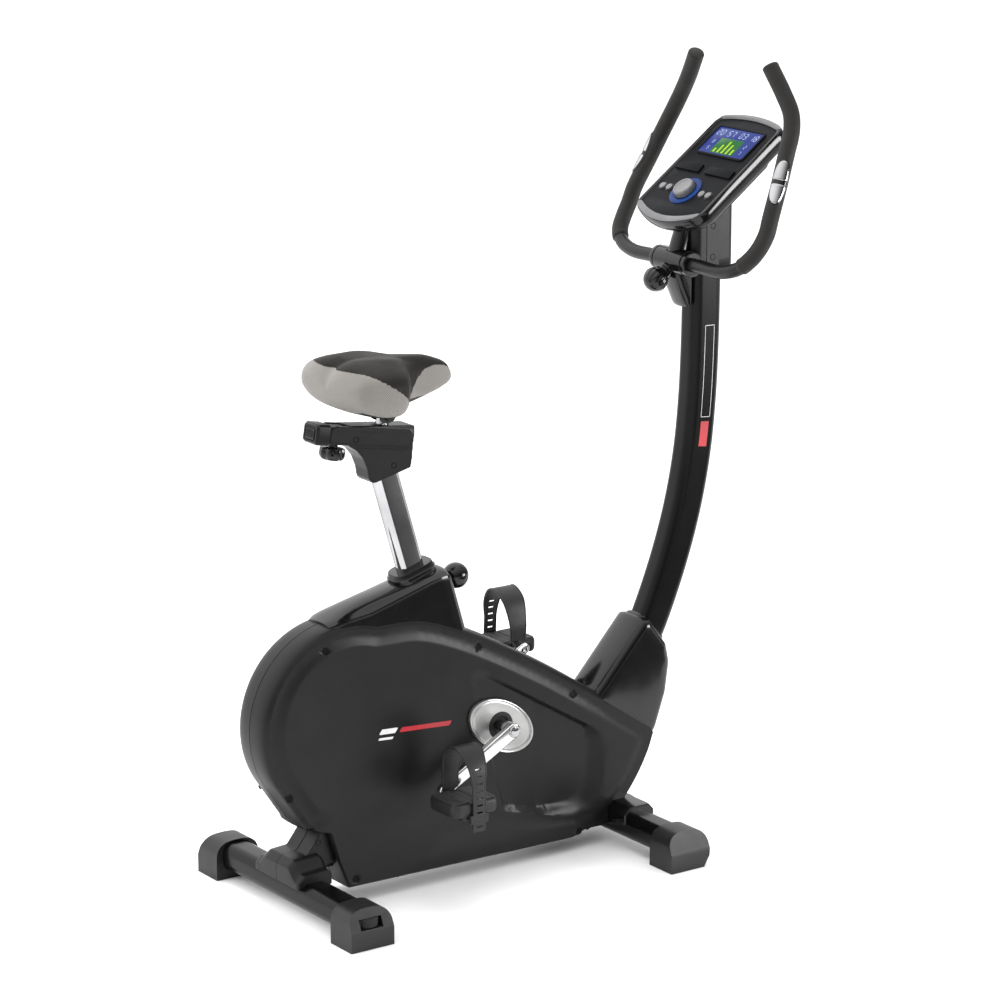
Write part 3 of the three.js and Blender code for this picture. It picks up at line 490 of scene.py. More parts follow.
def modelled(name, shape):
    """A new mesh object from a shape in mm."""
    mesh = bpy.data.meshes.new(name)
    points, faces = shape
    mesh.from_pydata([at(*p) for p in points], [], [list(f) for f in faces])
    return linked(name, mesh)


def face_outwards(mesh, weld=0.0):
    """Turns the faces outwards, with points closer than weld joined first."""
    clean = bmesh.new()
    clean.from_mesh(mesh)
    if weld:
        bmesh.ops.remove_doubles(clean, verts=clean.verts, dist=weld)
    bmesh.ops.recalc_face_normals(clean, faces=clean.faces)
    clean.to_mesh(mesh)
    clean.free()


def shade(mesh, crease):
    mesh.shade_smooth()
    mesh.set_sharp_from_angle(angle=math.radians(crease))


def piece(name, shape, material, body, replaces=(), crease=32, bevel=0.0):
    """A mesh piece that rides on a body, with edges rounded when a bevel is given and a finish from FINISHES.
    """
    obj = modelled(name, shape)
    face_outwards(obj.data, WELD)
    shade(obj.data, crease)
    if bevel:
        soften(obj, bevel)
    return dress(obj, material, body, replaces)


def soften(obj, width, steps=3, angle=32):
    edge = obj.modifiers.new("edge", "BEVEL")
    edge.width = width / 1000
    edge.segments = steps
    edge.limit_method = "ANGLE"
    edge.angle_limit = math.radians(angle)
    edge.use_clamp_overlap = True
    edge.harden_normals = True


def coloured(obj, material):
    """Gives the object one material."""
    obj.data.materials.clear()
    obj.data.materials.append(material)


def dress(obj, material, body, replaces=()):
    finish_material, slot = FINISHES[material]
    coloured(obj, finish_material)
    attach(obj, body)
    if replaces:
        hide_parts(*replaces)
    return obj


def carried(node, material, bevel=0.6, crease=40):
    """A CAD node that is shown as it is, with softened edges and a detailed material."""
    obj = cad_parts[node]
    coloured(obj, FINISHES[material][0])
    shade(obj.data, crease)
    soften(obj, bevel, 2, crease)


def applied(obj):
    """Bakes the object's modifiers into its mesh."""
    bpy.context.view_layer.update()
    depsgraph = bpy.context.evaluated_depsgraph_get()
    baked = bpy.data.meshes.new_from_object(obj.evaluated_get(depsgraph))
    obj.modifiers.clear()
    obj.data = baked


def remeshed(obj, voxel):
    """Adds a voxel remesh of the given size in mm."""
    remesh = obj.modifiers.new("remesh", "REMESH")
    remesh.mode = "VOXEL"
    remesh.voxel_size = voxel / 1000


def fused(shape, voxel, smoothing):
    """Overlapping solids run together as one moulding, with small fillets where they meet."""
    obj = modelled("fused", shape)
    remeshed(obj, voxel)
    relax = obj.modifiers.new("relax", "SMOOTH")
    relax.iterations = smoothing
    applied(obj)
    points = [tuple(in_mm(vertex.co)) for vertex in obj.data.vertices]
    faces = [tuple(f.vertices) for f in obj.data.polygons]
    bpy.data.objects.remove(obj)
    return points, faces


def bored(obj, *tools):
    """Cuts closed shapes out of a piece."""
    material = obj.data.materials[0]
    for tool in tools:
        cutter = modelled("tool", tool)
        face_outwards(cutter.data)
        cut = obj.modifiers.new("cut", "BOOLEAN")
        cut.operation = "DIFFERENCE"
        cut.solver = "EXACT"
        cut.object = cutter
        applied(obj)
        coloured(obj, material)
        bpy.data.objects.remove(cutter)
    obj.data.set_sharp_from_angle(angle=math.radians(32))


def cross(angle, k):
    """The ripple that makes a screw head's cross."""
    return 1 + (0.6 * max(0, math.cos(4 * angle)) if k >= 3 else 0)


def screws(name, body, spots, normals=None, radius=5.5, side=1, deep=0.0):
    """Cross-head screws sunk in round wells painted near black as painted shade, along the surface's normals
    where it slopes.
    """
    well = [
        (radius + 1.3, -0.6), (radius + 1.3, 0.12), (radius + 0.8, 0.25), (radius, 0), (radius, -6),
        (0.05, -6),
    ]
    head = [
        (radius - 0.7, -6), (radius - 0.8, -2.2 - deep), (radius - 2.0, -0.9 - deep), (1.9, -0.5 - deep),
        (1.5, -2 - deep), (0.05, -2.1 - deep),
    ]
    wells, heads = [], []
    for spot, direction in zip(spots, normals or [(0, 1, 0)] * len(spots)):
        wells.append(turned(spot, direction, well, 28))
        heads.append(turned(spot, direction, head, 28, cross))
    piece(f"{name}_wells", sided(merge(*wells), side), "painted_shade_well", body)
    piece(f"{name}_screws", sided(merge(*heads), side), "gloss_black", body, crease=40)


# ------------------------------------------------------------------ plane geometry for the housing
def inside(points, polygon):
    """Which points lie in a closed polygon."""
    x, z = points[:, 0], points[:, 1]
    hits = np.zeros(len(points), bool)
    for (x1, z1), (x2, z2) in zip(polygon, np.roll(polygon, -1, axis=0)):
        crosses = (z1 > z) != (z2 > z)
        reach = (x2 - x1) * (z - z1) / ((z2 - z1) if z1 != z2 else 1e-9) + x1
        hits ^= crosses & (x < reach)
    return hits


def distance(points, polygon):
    """How far each point is from a closed polygon's outline."""
    start = np.asarray(polygon)
    step = np.roll(start, -1, axis=0) - start
    rel = points[:, None, :] - start[None]
    t = np.clip((rel * step).sum(2) / np.maximum((step ** 2).sum(1), 1e-9), 0, 1)
    return np.linalg.norm(rel - t[..., None] * step, axis=2).min(1)


def inset_ring(outline, hub, inset, count):
    """The points at a depth from the outline, seen at even angles from the hub. inset may be a list."""
    angle = np.linspace(-math.pi, math.pi, count, endpoint=False)
    ray = np.stack([np.cos(angle), np.sin(angle)], axis=1)
    low, high = np.zeros(count), np.full(count, 700.0)
    for _ in range(26):
        middle = (low + high) / 2
        spot = hub + ray * middle[:, None]
        deep = np.where(inside(spot, outline), distance(spot, outline), -1)
        too_far = deep < inset
        high = np.where(too_far, middle, high)
        low = np.where(too_far, low, middle)
    return hub + ray * low[:, None]


def ease(value, start, end):
    """0 before start and 1 past end, with a soft step between them."""
    t = np.clip((value - start) / (end - start), 0, 1)
    return t * t * (3 - 2 * t)


def housing_outline():
    crest = arc(*FLYWHEEL, HOUSING_RADIUS, 72, 212, 70)
    top = smooth_path([(768, 203), (630, 292), (500, 374), (335, 462), (240, 496), crest[0]], 60)
    front = smooth_path([(650, 24), (712, 92), (748, 150), (768, 203)], 24)
    rear = [(0, 150), (46, 138), (62, 84), (84, 30)]
    return np.array([*rear, *front, *top[1:-1], *crest])


OUTLINE = housing_outline()
HUB = np.array((330.0, 250.0))  # every housing ring is seen whole from here
# rim sections as (inset, |Y|): the rear and top, the underside, and the nose
RIMS = (
    ((0.6, 0.2), (0, 0.8), (0.3, 13), (1.0, 25), (2.4, 33), (4, 38), (6, 41)),
    ((0.6, 0.2), (0, 0.8), (0, 16), (0, 32), (0.1, 42), (0.5, 46.5), (1.8, 48.4)),
    ((0.6, 0.2), (0, 0.8), (0.8, 10), (2.6, 19), (5.2, 27), (8, 33), (11, 38)),
)
SLOPE_ENDS = (40, 4, 52)  # how far in from the outline the flat begins
SLOPE_POWERS = (1, 2, 2.2)
RECESS = rounded(
    [(335, 397), (630, 219), (645, 190), (640, 120), (612, 72), (585, 62), (500, 84), (415, 107)],
    [20, 14, 14, 30, 10, 20, 60, 16], 5,
)
RECESS_FLOOR = rounded(
    [(345, 384), (596, 232), (607, 206), (604, 150), (590, 116), (562, 100), (500, 98), (419, 118)],
    [14, 14, 12, 30, 16, 16, 60, 12], 5,
)
LOWER_PANEL = rounded(
    [(265, 101), (412, 103), (499, 80), (584, 58), (608, 27), (182, 30)],
    [30, 30, 60, 10, 4, 4], 5,
)
RECESS_DEPTH = 10
PANEL_RISE = 4.0
WALL = 2.2
SCREW_HOLES = [(42, 470), (362, 424), (569, 299), (-34, 217), (98, 45), (582, 36)]
SCREW_RADIUS = 5.5


def rim_weights(points):
    """How much each point belongs to the rear and top, the underside, and the nose."""
    angle = np.degrees(np.arctan2(points[:, 1] - HUB[1], points[:, 0] - HUB[0]))
    under = ease(angle, -166, -160) * (1 - ease(angle, -44, -36))
    nose = ease(angle, -44, -36) * (1 - ease(angle, -6, 10))
    return np.stack([1 - under - nose, under, nose])


def housing_ring(inset, count):
    return inset_ring(OUTLINE, HUB, inset, count)


def housing_height(points):
    """|Y| of the housing's face."""
    weights = rim_weights(points)
    rim_in, rim_y = (weights * np.array([rim[-1] for rim in RIMS])[:, k, None] for k in (0, 1))
    rim_in, rim_y = rim_in.sum(0), rim_y.sum(0)
    end = (weights * np.array(SLOPE_ENDS)[:, None]).sum(0)
    power = (weights * np.array(SLOPE_POWERS)[:, None]).sum(0)
    left = (end - distance(points, OUTLINE)) / (end - rim_in)
    softness = 0.012
    soft = softness * np.log1p(np.exp(np.clip(left / softness, -40, 40)))
    height = HALF - (HALF - rim_y) * np.clip(soft, 0, 1) ** power

    from_edge = distance(points, RECESS)
    to_floor = np.where(inside(points, RECESS_FLOOR), 0, distance(points, RECESS_FLOOR))
    fall = np.where(inside(points, RECESS), from_edge / (from_edge + to_floor + 1e-6), 0)
    deepening = np.clip((points[:, 0] - 335) / 150, 0, 1)
    height -= RECESS_DEPTH * deepening * ease(fall, 0.03, 0.97)
    lower = inside(points, LOWER_PANEL) * np.minimum(distance(points, LOWER_PANEL) / 24, 1)
    proud = PANEL_RISE * lower * np.clip((108 - points[:, 1]) / 60, 0, 1)
    return height + proud


def densified(outline, step):
    """A closed outline with its corners kept and its long edges divided."""
    points = []
    for start, end in zip(outline, np.roll(outline, -1, axis=0)):
        parts = max(1, math.ceil(np.linalg.norm(np.subtract(end, start)) / step))
        points += [np.add(start, np.subtract(end, start) * k / parts) for k in range(parts)]
    return np.array(points)


def housing_shell():
    """One half of the housing: the rim as lofted rings, the face as a mesh fitted to its creases."""
    count = 420
    weights = rim_weights(housing_ring(0, count))
    rings = []
    for k in range(len(RIMS[0])):
        inset = sum(w * rim[k][0] for w, rim in zip(weights, RIMS))
        height = sum(w * rim[k][1] for w, rim in zip(weights, RIMS))
        flat = housing_ring(inset, count)
        rings.append([(x, y, z) for (x, z), y in zip(flat, height)])
    edge = np.array([(x, z) for x, _, z in rings[-1]])

    slope_loops = [housing_ring(inset, 280) for inset in (12, 20, 30, 36, 38.5, 41, 44, 50)]
    loops = [edge, housing_ring(4, 280), *slope_loops]
    loops += [densified(line, 7) for line in (RECESS, RECESS_FLOOR, LOWER_PANEL)]
    holes = [np.array(arc(x, z, SCREW_RADIUS, 0, 360, 16)[:-1]) for x, z in SCREW_HOLES]
    holes.append(np.array(arc(*CRANK, 21, 0, 360, 32)[:-1]))
    spacing = 7.5
    rows = np.meshgrid(np.arange(-100, 780, spacing), np.arange(20, 520, spacing))
    grid = np.stack(rows, axis=-1).reshape(-1, 2)
    grid = grid[inside(grid, edge) & (distance(grid, OUTLINE) > 9)]

    points, edges = [], []
    for number, loop in enumerate(loops + holes):
        start = len(points)
        size = len(loop)
        stays = np.ones(size, bool)
        if 2 <= number < 2 + len(slope_loops):  # they stop at the underside, the recess and the holes
            stays = (rim_weights(loop)[1] < 0.4) & ~inside(loop, RECESS) & (distance(loop, RECESS) > 2.5)
            for hole in holes:
                stays &= np.linalg.norm(loop - hole.mean(0), axis=1) > 8
        places = np.cumsum(stays) - 1
        points += [Vector(p) for p in loop[stays]]
        edges += [(start + places[i], start + places[(i + 1) % size]) for i in range(size)
                  if stays[i] and stays[(i + 1) % size]]
    tree = KDTree(len(points))
    for k, point in enumerate(points):
        tree.insert((*point, 0), k)
    tree.balance()
    points += [Vector(p) for p in grid if tree.find((*p, 0))[2] > 0.48 * spacing]
    made = geometry.delaunay_2d_cdt(points, edges, [], 0, 1e-4)
    flat = np.array([tuple(p) for p in made[0]])
    triangles = np.array([tuple(f) for f in made[2]])
    centre = flat[triangles].mean(1)
    keep = inside(centre, edge)
    for hole in holes:
        keep &= ~inside(centre, hole)
    height = housing_height(flat)
    ring_height = np.array([y for _, y, _ in rings[-1]])
    nearest = np.linalg.norm(flat[:, None] - edge[None], axis=2)
    on_edge = nearest.min(1) < 0.02
    height[on_edge] = ring_height[nearest.argmin(1)[on_edge]]
    face = ([(x, y, z) for (x, z), y in zip(flat, height)], [tuple(t) for t in triangles[keep]])
    return merge(loft(rings, caps=False), face)


def housing():
    shell = housing_shell()
    holes = np.array(SCREW_HOLES, float)
    spots = [(x, y, z) for (x, z), y in zip(SCREW_HOLES, housing_height(holes))]
    rises = []
    for step in ((3, 0), (0, 3)):
        rises.append((housing_height(holes + step) - housing_height(holes - step)) / 6)
    normals = [(-a, 1, -b) for a, b in zip(*rises)]
    for label, side in SIDES:
        obj = piece(f"housing_shell_{label}", sided(shell, side), "shell", "frame", [f"housing_{label}"], 24)
        wall = obj.modifiers.new("wall", "SOLIDIFY")
        wall.thickness = WALL / 1000
        wall.offset = -1
        screws(f"housing_{label}", "frame", spots, normals, side=side, deep=3)
        open_for_post(obj)
        label_bars(label, side)
        oval_disc(label, side)


def open_for_post(shell):
    """Takes out the part of the housing's crest that the seat post slides through."""
    half_wide, half_long, lowest = 24, 36, 400
    mesh = bmesh.new()
    mesh.from_mesh(shell.data)
    crest = []
    for face in mesh.faces:
        centre = in_mm(face.calc_center_median())
        from_post = abs((centre - seat_point(0)).dot(SEAT_AHEAD))
        if abs(centre.y) < half_wide and from_post < half_long and centre.z > lowest:
            crest.append(face)
    bmesh.ops.delete(mesh, geom=crest, context="FACES")
    mesh.to_mesh(shell.data)
    mesh.free()


def label_bars(label, side):
    """Plain printed bars where the housing carries its label."""
    top = HALF + 0.12
    slant = 7
    white = [(148, 300), (182, 298), (182 + slant, 307), (148 + slant, 309)]
    thin = [(146, 290), (176, 288), (176 + slant / 2, 292), (146 + slant / 2, 294)]
    red = [(190, 297.5), (296, 291), (296 + slant, 299), (190 + slant, 305.5)]
    for name, shapes, ink in (("white", (white, thin), "print_white"), ("red", (red,), "print_red")):
        bars = merge(*(extruded(rounded(bar, 2), HALF - 0.4, top) for bar in shapes))
        piece(f"label_{name}_{label}", sided(bars, side), ink, "frame")


def crank_centre(y):
    return (CRANK[0], y, CRANK[1])


def oval_disc(label, side):
    """Dished oval trim with a rolled rim, around the crank's hub."""
    half_long, half_wide, eye, turn = 75, 45, 22, math.radians(-30)
    profile = [
        (1.0, 50.3), (1.0, 55), (0.988, 56.6), (0.965, 57), (0.94, 56.7), (0.925, 55.2), (0.905, 54.2),
        (0.88, 54.4), (0.86, 54.9), (0.82, 54.6), (0.6, 53.0), (0.42, 52.4), (0.34, 52.6), (0.31, 52.9),
        (0.31, 51),
    ]
    rings = []
    for scale, y in profile:
        round_in = float(ease(1 - scale, 0.35, 0.66))  # from the oval to a round eye
        reach_a = half_long * scale * (1 - round_in) + eye * round_in
        reach_b = half_wide * scale * (1 - round_in) + eye * round_in
        ring = []
        for u, v in circle(1, 96):
            a, b = reach_a * u, reach_b * v
            ring.append((
                CRANK[0] + a * math.cos(turn) - b * math.sin(turn), y,
                CRANK[1] + a * math.sin(turn) + b * math.cos(turn),
            ))
        rings.append(ring)
    shape = loft(rings, caps=False)
    piece(f"oval_trim_{label}", sided(shape, side), "satin_disc", "frame", [f"crank_disc_{label}"], 30)
    boot = turned(crank_centre(46), (0, 1, 0), [
        (26, 0), (26, 6.6), (24.5, 7.6), (20, 8.2), (17, 7.4), (15.5, 4), (9.5, 3),
    ], 40)
    piece(f"hub_seal_{label}", sided(boot, side), "rubber", "frame")


# ------------------------------------------------------------------ rounded slabs and the covers
def pillow(outline, hub, rim, count=200):
    """A slab in side view with edges turned over: rim is (inset, |Y|) from the middle plane outwards."""
    outline = np.array(outline)
    rings = []
    for inset, y in [*((inset, -y) for inset, y in reversed(rim)), *rim[1:]]:
        rings.append([(x, y, z) for x, z in inset_ring(outline, np.array(hub), inset, count)])
    return loft(rings)


SHROUD_STATIONS = [58, 62, 70, 84, 100, 120, 140, 165, 190, 215, 240, 265, 285, 299, 306, 310, 311.5]
# the crest and the lower edge, as (X, Z)
SHROUD_TOP = [(58, 510), (79, 520), (105, 530), (137, 539), (169, 546), (206, 554), (303, 574), (320, 578)]
SHROUD_EDGE = [
    (58, 506), (75, 513), (95, 515.5), (142, 521.5), (195, 538), (238, 550), (270, 559), (320, 567),
]
SHROUD_HALF = 41.5


def seat_shroud():
    """Glossy cover that rises over the housing's crest to the seat tube's collar."""
    rings = []
    for s in SHROUD_STATIONS:
        z_top = along(SHROUD_TOP, s)
        z_edge = min(along(SHROUD_EDGE, s), z_top - 3)
        nose = max(0.0, (s - 299) / 12.5)
        tail = max(0.0, (84 - s) / 26)
        half = SHROUD_HALF - 7 * nose ** 2 - 9 * tail ** 2
        z_top -= 5 * nose ** 2
        z_edge -= 6 * nose ** 2
        crown = []
        for t in np.linspace(0, 1, 15):
            y = half * (1 - 2 * t)
            lift = (1 - abs(1 - 2 * t) ** 2.6) ** 0.8
            crown.append((y, z_edge + (z_top - z_edge) * lift))
        ring = [(half, 425), (half, z_edge - 12), (half, z_edge - 2.5), (half - 0.6, z_edge - 0.8)]
        ring += [(y * (half - 2.2) / half, z) for y, z in crown]
        ring += [(-half + 0.6, z_edge - 0.8), (-half, z_edge - 2.5), (-half, z_edge - 12), (-half, 425)]
        rings.append([(s - 0.3 * (z - 560) * float(ease(s, 120, 260)), y, z) for y, z in ring])
    shroud = piece("seat_shroud", loft(rings), "gloss_black", "frame", ["seat_tube_cover"], 24)
    bored(shroud, seat_stack([(0, -260), (0, 60)], 57, 33, 16))
    for label, side in SIDES:
        screws(f"seat_shroud_{label}", "frame", [(193, SHROUD_HALF + 0.1, 521)], side=side)


def mast_shroud():
    """Glossy moulding that carries the mast's foot, with a stepped collar."""
    corners = [
        (612, 268), (628, 296), (733, 411), (752, 409), (791, 356), (799, 320), (791, 262), (768, 196),
        (740, 160),
    ]
    outline = rounded(corners, [8, 60, 9, 8, 10, 60, 60, 30, 8], 8)
    rim = ((0, 0), (0.4, 14), (1.6, 26), (3.6, 34), (6.5, 39), (11, 42.2), (17, 43.6), (26, 44.2))
    piece("mast_shroud", pillow(outline, (728, 300), rim), "gloss_black", "frame", ["mast_cover"], 26)
    across = Vector((0.69, 0, -0.724))
    normal = Vector((0.724, 0, 0.69))
    profile = [
        (-2, -7), (2.2, -6), (3, -4), (3, 3), (2.2, 4.6), (0.5, 5.2), (0, 6.4), (-2, 7.2), (-6, 7.4),
    ]
    collar = moved(loft(stack(56, 72, 18, profile)), placing((764, 0, 383), (0, 1, 0), across, normal))
    piece("mast_collar", collar, "gloss_black", "frame", crease=40)


MAST_LINE = [
    (725, 300), (751, 350), (777, 400), (818.5, 500), (850, 600), (870.5, 700), (881, 800), (885.5, 900),
    (887, 1000), (887, 1130),
]


def mast():
    path = smooth_path([(x, 0, z) for x, z in MAST_LINE], 90)
    piece("mast_tube", swept(path, rounded_rect(52, 66, 18, 10)), "mast_paint", "frame", ["console_post"], 40)
    for label, side in SIDES:
        mast_stripe(label, side, path)
    profile = [(-3, 1036), (-1, 1037), (0, 1039), (0, 1060), (0, 1120), (0, 1150), (0, 1172), (-2, 1176)]
    head = loft(stack(89, 70, 14, profile, x=890.5))
    piece("mast_head_cover", head, "shell", "frame", ["mast_head"], 30)
    plate = rounded([(871, 1044), (899, 1044), (899, 1160), (871, 1160)], 3)
    strip = extruded(plate, 34.6, 35.9)
    for label, side in SIDES:
        piece(f"mast_head_strip_{label}", sided(strip, side), "shell", "frame", bevel=0.5)
        screws(f"mast_head_{label}", "frame", [(885, 36, 1120), (885, 36, 1063)], radius=4.6, side=side)


def mast_stripe(label, side, path):
    """A thin printed outline with a small tab beneath it, on the mast's side."""
    def on_mast(height, offset):
        k = min(range(len(path)), key=lambda i: abs(path[i][2] - height))
        along = Vector(path[min(k + 1, len(path) - 1)]) - Vector(path[max(k - 1, 0)])
        along.normalize()
        forward = Vector((along.z, 0, -along.x))
        return Vector(path[k]) + along * (height - path[k][2]) / along.z + forward * offset

    def ribbon(stops, wide):
        corners = [(-wide / 2, 26.06), (wide / 2, 26.06), (wide / 2, 25.7), (-wide / 2, 25.7)]
        return loft([
            [on_mast(height, offset + a) + Vector((0, y, 0)) for a, y in corners] for height, offset in stops
        ])

    heights = range(766, 937, 10)
    lines = [ribbon([(z, offset) for z in heights], 0.9) for offset in (12, -8)]
    lines += [ribbon([(z, 2), (z + 1, 2)], 20.6) for z in (766, 935)]
    piece(f"mast_print_{label}", sided(merge(*lines), side), "print_white", "frame")
    tab = ribbon([(712, 2), (735, 2), (758, 2)], 18)
    piece(f"mast_tab_{label}", sided(tab, side), "print_red", "frame")


# ------------------------------------------------------------------ seat column
SEAT_UP = Vector((-math.sin(SEAT_LEAN), 0, math.cos(SEAT_LEAN)))
SEAT_AHEAD = Vector((math.cos(SEAT_LEAN), 0, math.sin(SEAT_LEAN)))


def seat_point(along, forward=0.0, y=0.0):
    """A place on the leaning seat post, along it from the collar's foot."""
    return Vector((SEAT_BASE[0], y, SEAT_BASE[1])) + SEAT_UP * along + SEAT_AHEAD * forward


def seat_stack(profile, deep, wide, corner, steps=10):
    """Like stack(), along the seat post."""
    rings = stack(deep, wide, corner, profile, steps)
    return loft([[seat_point(along, a, b) for a, b, along in ring] for ring in rings])


RAIL_X = Vector((math.cos(RAIL_TILT), 0, -math.sin(RAIL_TILT)))
RAIL_Z = Vector((math.sin(RAIL_TILT), 0, math.cos(RAIL_TILT)))
ON_RAIL = placing((RAIL_AT[0], 0, RAIL_AT[1]), RAIL_X, (0, 1, 0), RAIL_Z)


def railed(shape):
    return moved(shape, ON_RAIL)


def seat_column():
    collar = [
        (-6, -3), (-0.8, -2), (0, 0), (0, 4.4), (-1.2, 5.6), (-1.2, 6.4), (-0.2, 7.4), (-0.4, 11), (-2, 12.2),
        (-2.2, 13), (-3.4, 14.2), (-3.8, 18), (-5.2, 19.8), (-9, 20),
    ]
    piece("seat_collar", seat_stack(collar, 88, 60, 24), "gloss_black", "frame", ["seat_bushing"], 40)
    post = seat_stack([(0, -60), (0, 292)], 52, 28, 13.6, 14)
    piece("seat_post_tube", post, "chrome", "seat_post", ["seat_post"])
    pull_pin()
    guide_cover()
    rail_and_clamp()
    slider_knob()


def pull_pin():
    """The ribbed collar and round knob of the pin that holds the seat post's height."""
    base = seat_point(-39.5)
    collar = turned(base, SEAT_AHEAD, [
        (9, 52), (11, 54), (13, 56), (13, 60), (14.2, 61), (14.2, 66), (15.5, 67.5), (15.5, 70), (12, 71),
    ], 48, fluted(0.05, 14, 2, 7))
    piece("pull_knob_collar", collar, "gloss_black", "seat_pin_knob")
    knob = turned(base, SEAT_AHEAD, ball(23.5, 84, 26, 178, 34), 56)
    piece("pull_knob", knob, "gloss_black", "seat_pin_knob", ["seat_pin_knob"], 60)


def guide_cover():
    """Sliding head's housing: a bevelled beam and a lower shroud that sweeps back to the post."""
    beam = [(-76, -29), (-72, -31), (86, -31), (96, -22), (97, -7), (91, 0), (-72, 0), (-76, -3)]
    body = railed(extruded(rounded(beam, [2, 4, 16, 10, 6, 3, 3, 2], 6), -22, 22))
    shroud = rounded([
        (112, 816), (128, 806), (141, 790), (149, 770), (152, 752), (160, 744), (172, 746), (205, 754),
        (238, 762),
        (242, 782), (243, 800), (247, 822), (247, 836), (112, 852),
    ], [4, 18, 30, 30, 8, 8, 20, 60, 5, 60, 30, 6, 4, 4], 6)
    lower = extruded(shroud, -21, 21)
    merged = fused(merge(body, lower), 1.6, 3)
    cover = piece("seat_guide", merged, "shell", "seat_post", ["seat_guide_cover"], 180)
    thin = cover.modifiers.new("thin", "DECIMATE")
    thin.decimate_type = "COLLAPSE"
    thin.ratio = 0.6
    cap = rounded([(-74, -3.5), (-60, 1.8), (86, 1.8), (93, -4), (90, -5.6), (-74, -5.6)], 2)
    rim = railed(extruded(cap, 15.5, 23.0))
    for label, side in SIDES:
        piece(f"guide_rim_{label}", sided(rim, side), "shell", "seat_post", bevel=1.2)
        screws(f"guide_{label}", "seat_post", [(125, 22.3, 827), (203, 21.4, 771)], radius=4.2, side=side)


def rail_and_clamp():
    bar = [(-104, -25.5), (80, -25.5), (80, -6.5), (-104, -6.5)]
    inner = extruded(bar, -13.5, 13.5)
    piece("rail_bar", railed(inner), "powder_coat", "seat_slider", ["seat_rail"], bevel=2)
    rings = []
    for x, grow in (
        (-77, 0), (-99, 0), (-102, -2.5), (-103.5, -3), (-103.5, -6), (-101.5, -7.5), (-101.5, -10),
        (-104, -11.5),
    ):
        outline = rounded_rect(46 + 2 * grow, 36 + 2 * grow, 5, 4)
        rings.append([(x, a, b - 15) for a, b in outline])
    piece("rail_end_block", railed(loft(rings)), "shell", "seat_slider", crease=24)
    stub = turned((42, 0, -4), (0, 0, 1), [(11.5, 0), (11.5, 34), (10.5, 36), (4, 36.4)], 40)
    piece("seat_stub", railed(stub), "chrome", "seat_slider")

    ear = rounded([(27, 13), (40, 9), (54, 13), (60, 24), (56, 40), (24, 40)], [6, 8, 6, 8, 2, 2], 4)
    ears = [extruded(ear, *sorted((side * 12.6, side * 16.5))) for side in (-1, 1)]
    ears.append(rod((42, -21, 24), (42, 21, 24), 5, 24))
    for side in (-1, 1):
        ears.append(turned((42, side * 16.5, 24), (0, side, 0), [(10, 0), (10, 3.2), (9, 4.4), (3, 4.6)], 6))
    piece("saddle_clamp_ears", railed(merge(*ears)), "powder_coat", "saddle", bevel=0.7)
    plate = extruded(rounded([(2, 36), (66, 36), (66, 41), (2, 41)], 1), -20, 20)
    piece("saddle_plate", railed(plate), "powder_coat", "saddle", ["saddle_clamp"], bevel=0.8)


def slider_knob():
    """The lobed handwheel under the saddle's rail."""
    head = turned((-53, 0, -37), (0, 0, -1), [
        (13, 0), (20, 1.5), (21.3, 5), (21.3, 14), (20, 18.5), (17.5, 21.5), (13, 23.3), (6, 24.2),
        (0.1, 24.4),
    ], 96, fluted(0.075, 8, 1, 5))
    neck = rod((-53, 0, -38), (-53, 0, -26), 8)
    piece("slider_handwheel", railed(merge(head, neck)), "gloss_black", "slider_knob", ["slider_knob"], 40)


# ------------------------------------------------------------------ saddle
SADDLE_TILT = math.radians(5)
SADDLE_AT = (80, 918)
SADDLE_LENGTH = 258
ON_SADDLE = Matrix.Translation((SADDLE_AT[0], 0, SADDLE_AT[1])) @ Matrix.Rotation(SADDLE_TILT, 4, "Y")
# each list is (distance from the rear, value)
SADDLE_HALF_WIDTH = [
    (0, 74), (3, 85), (8, 94), (16, 101), (30, 106), (50, 110), (85, 111), (100, 107), (112, 97), (122, 80),
    (131, 61), (140, 46), (152, 38), (172, 33), (200, 30), (222, 26), (238, 20), (250, 13), (256, 6),
    (258, 2),
]
SADDLE_TOP = [(0, 40), (30, 47), (80, 50), (150, 50), (205, 49), (235, 42), (258, 28)]
SADDLE_UNDER = [(0, -22), (30, -36), (70, -45), (110, -45), (140, -32), (180, -20), (220, -8), (258, 8)]
BAND_TOP = [
    (0, 37), (12, 38), (24, 37), (36, 33), (48, 27), (60, 20.5), (72, 14), (86, 6), (98, -2), (108, -12),
    (116, -27), (120, -60),
]
NOSE_TOP = [
    (140, -60), (148, -14), (156, 4), (166, 18), (180, 31), (205, 38), (228, 36), (243, 29), (252, 14),
    (253, -60),
]


def along(stops, s):
    return float(np.interp(s, *zip(*stops)))


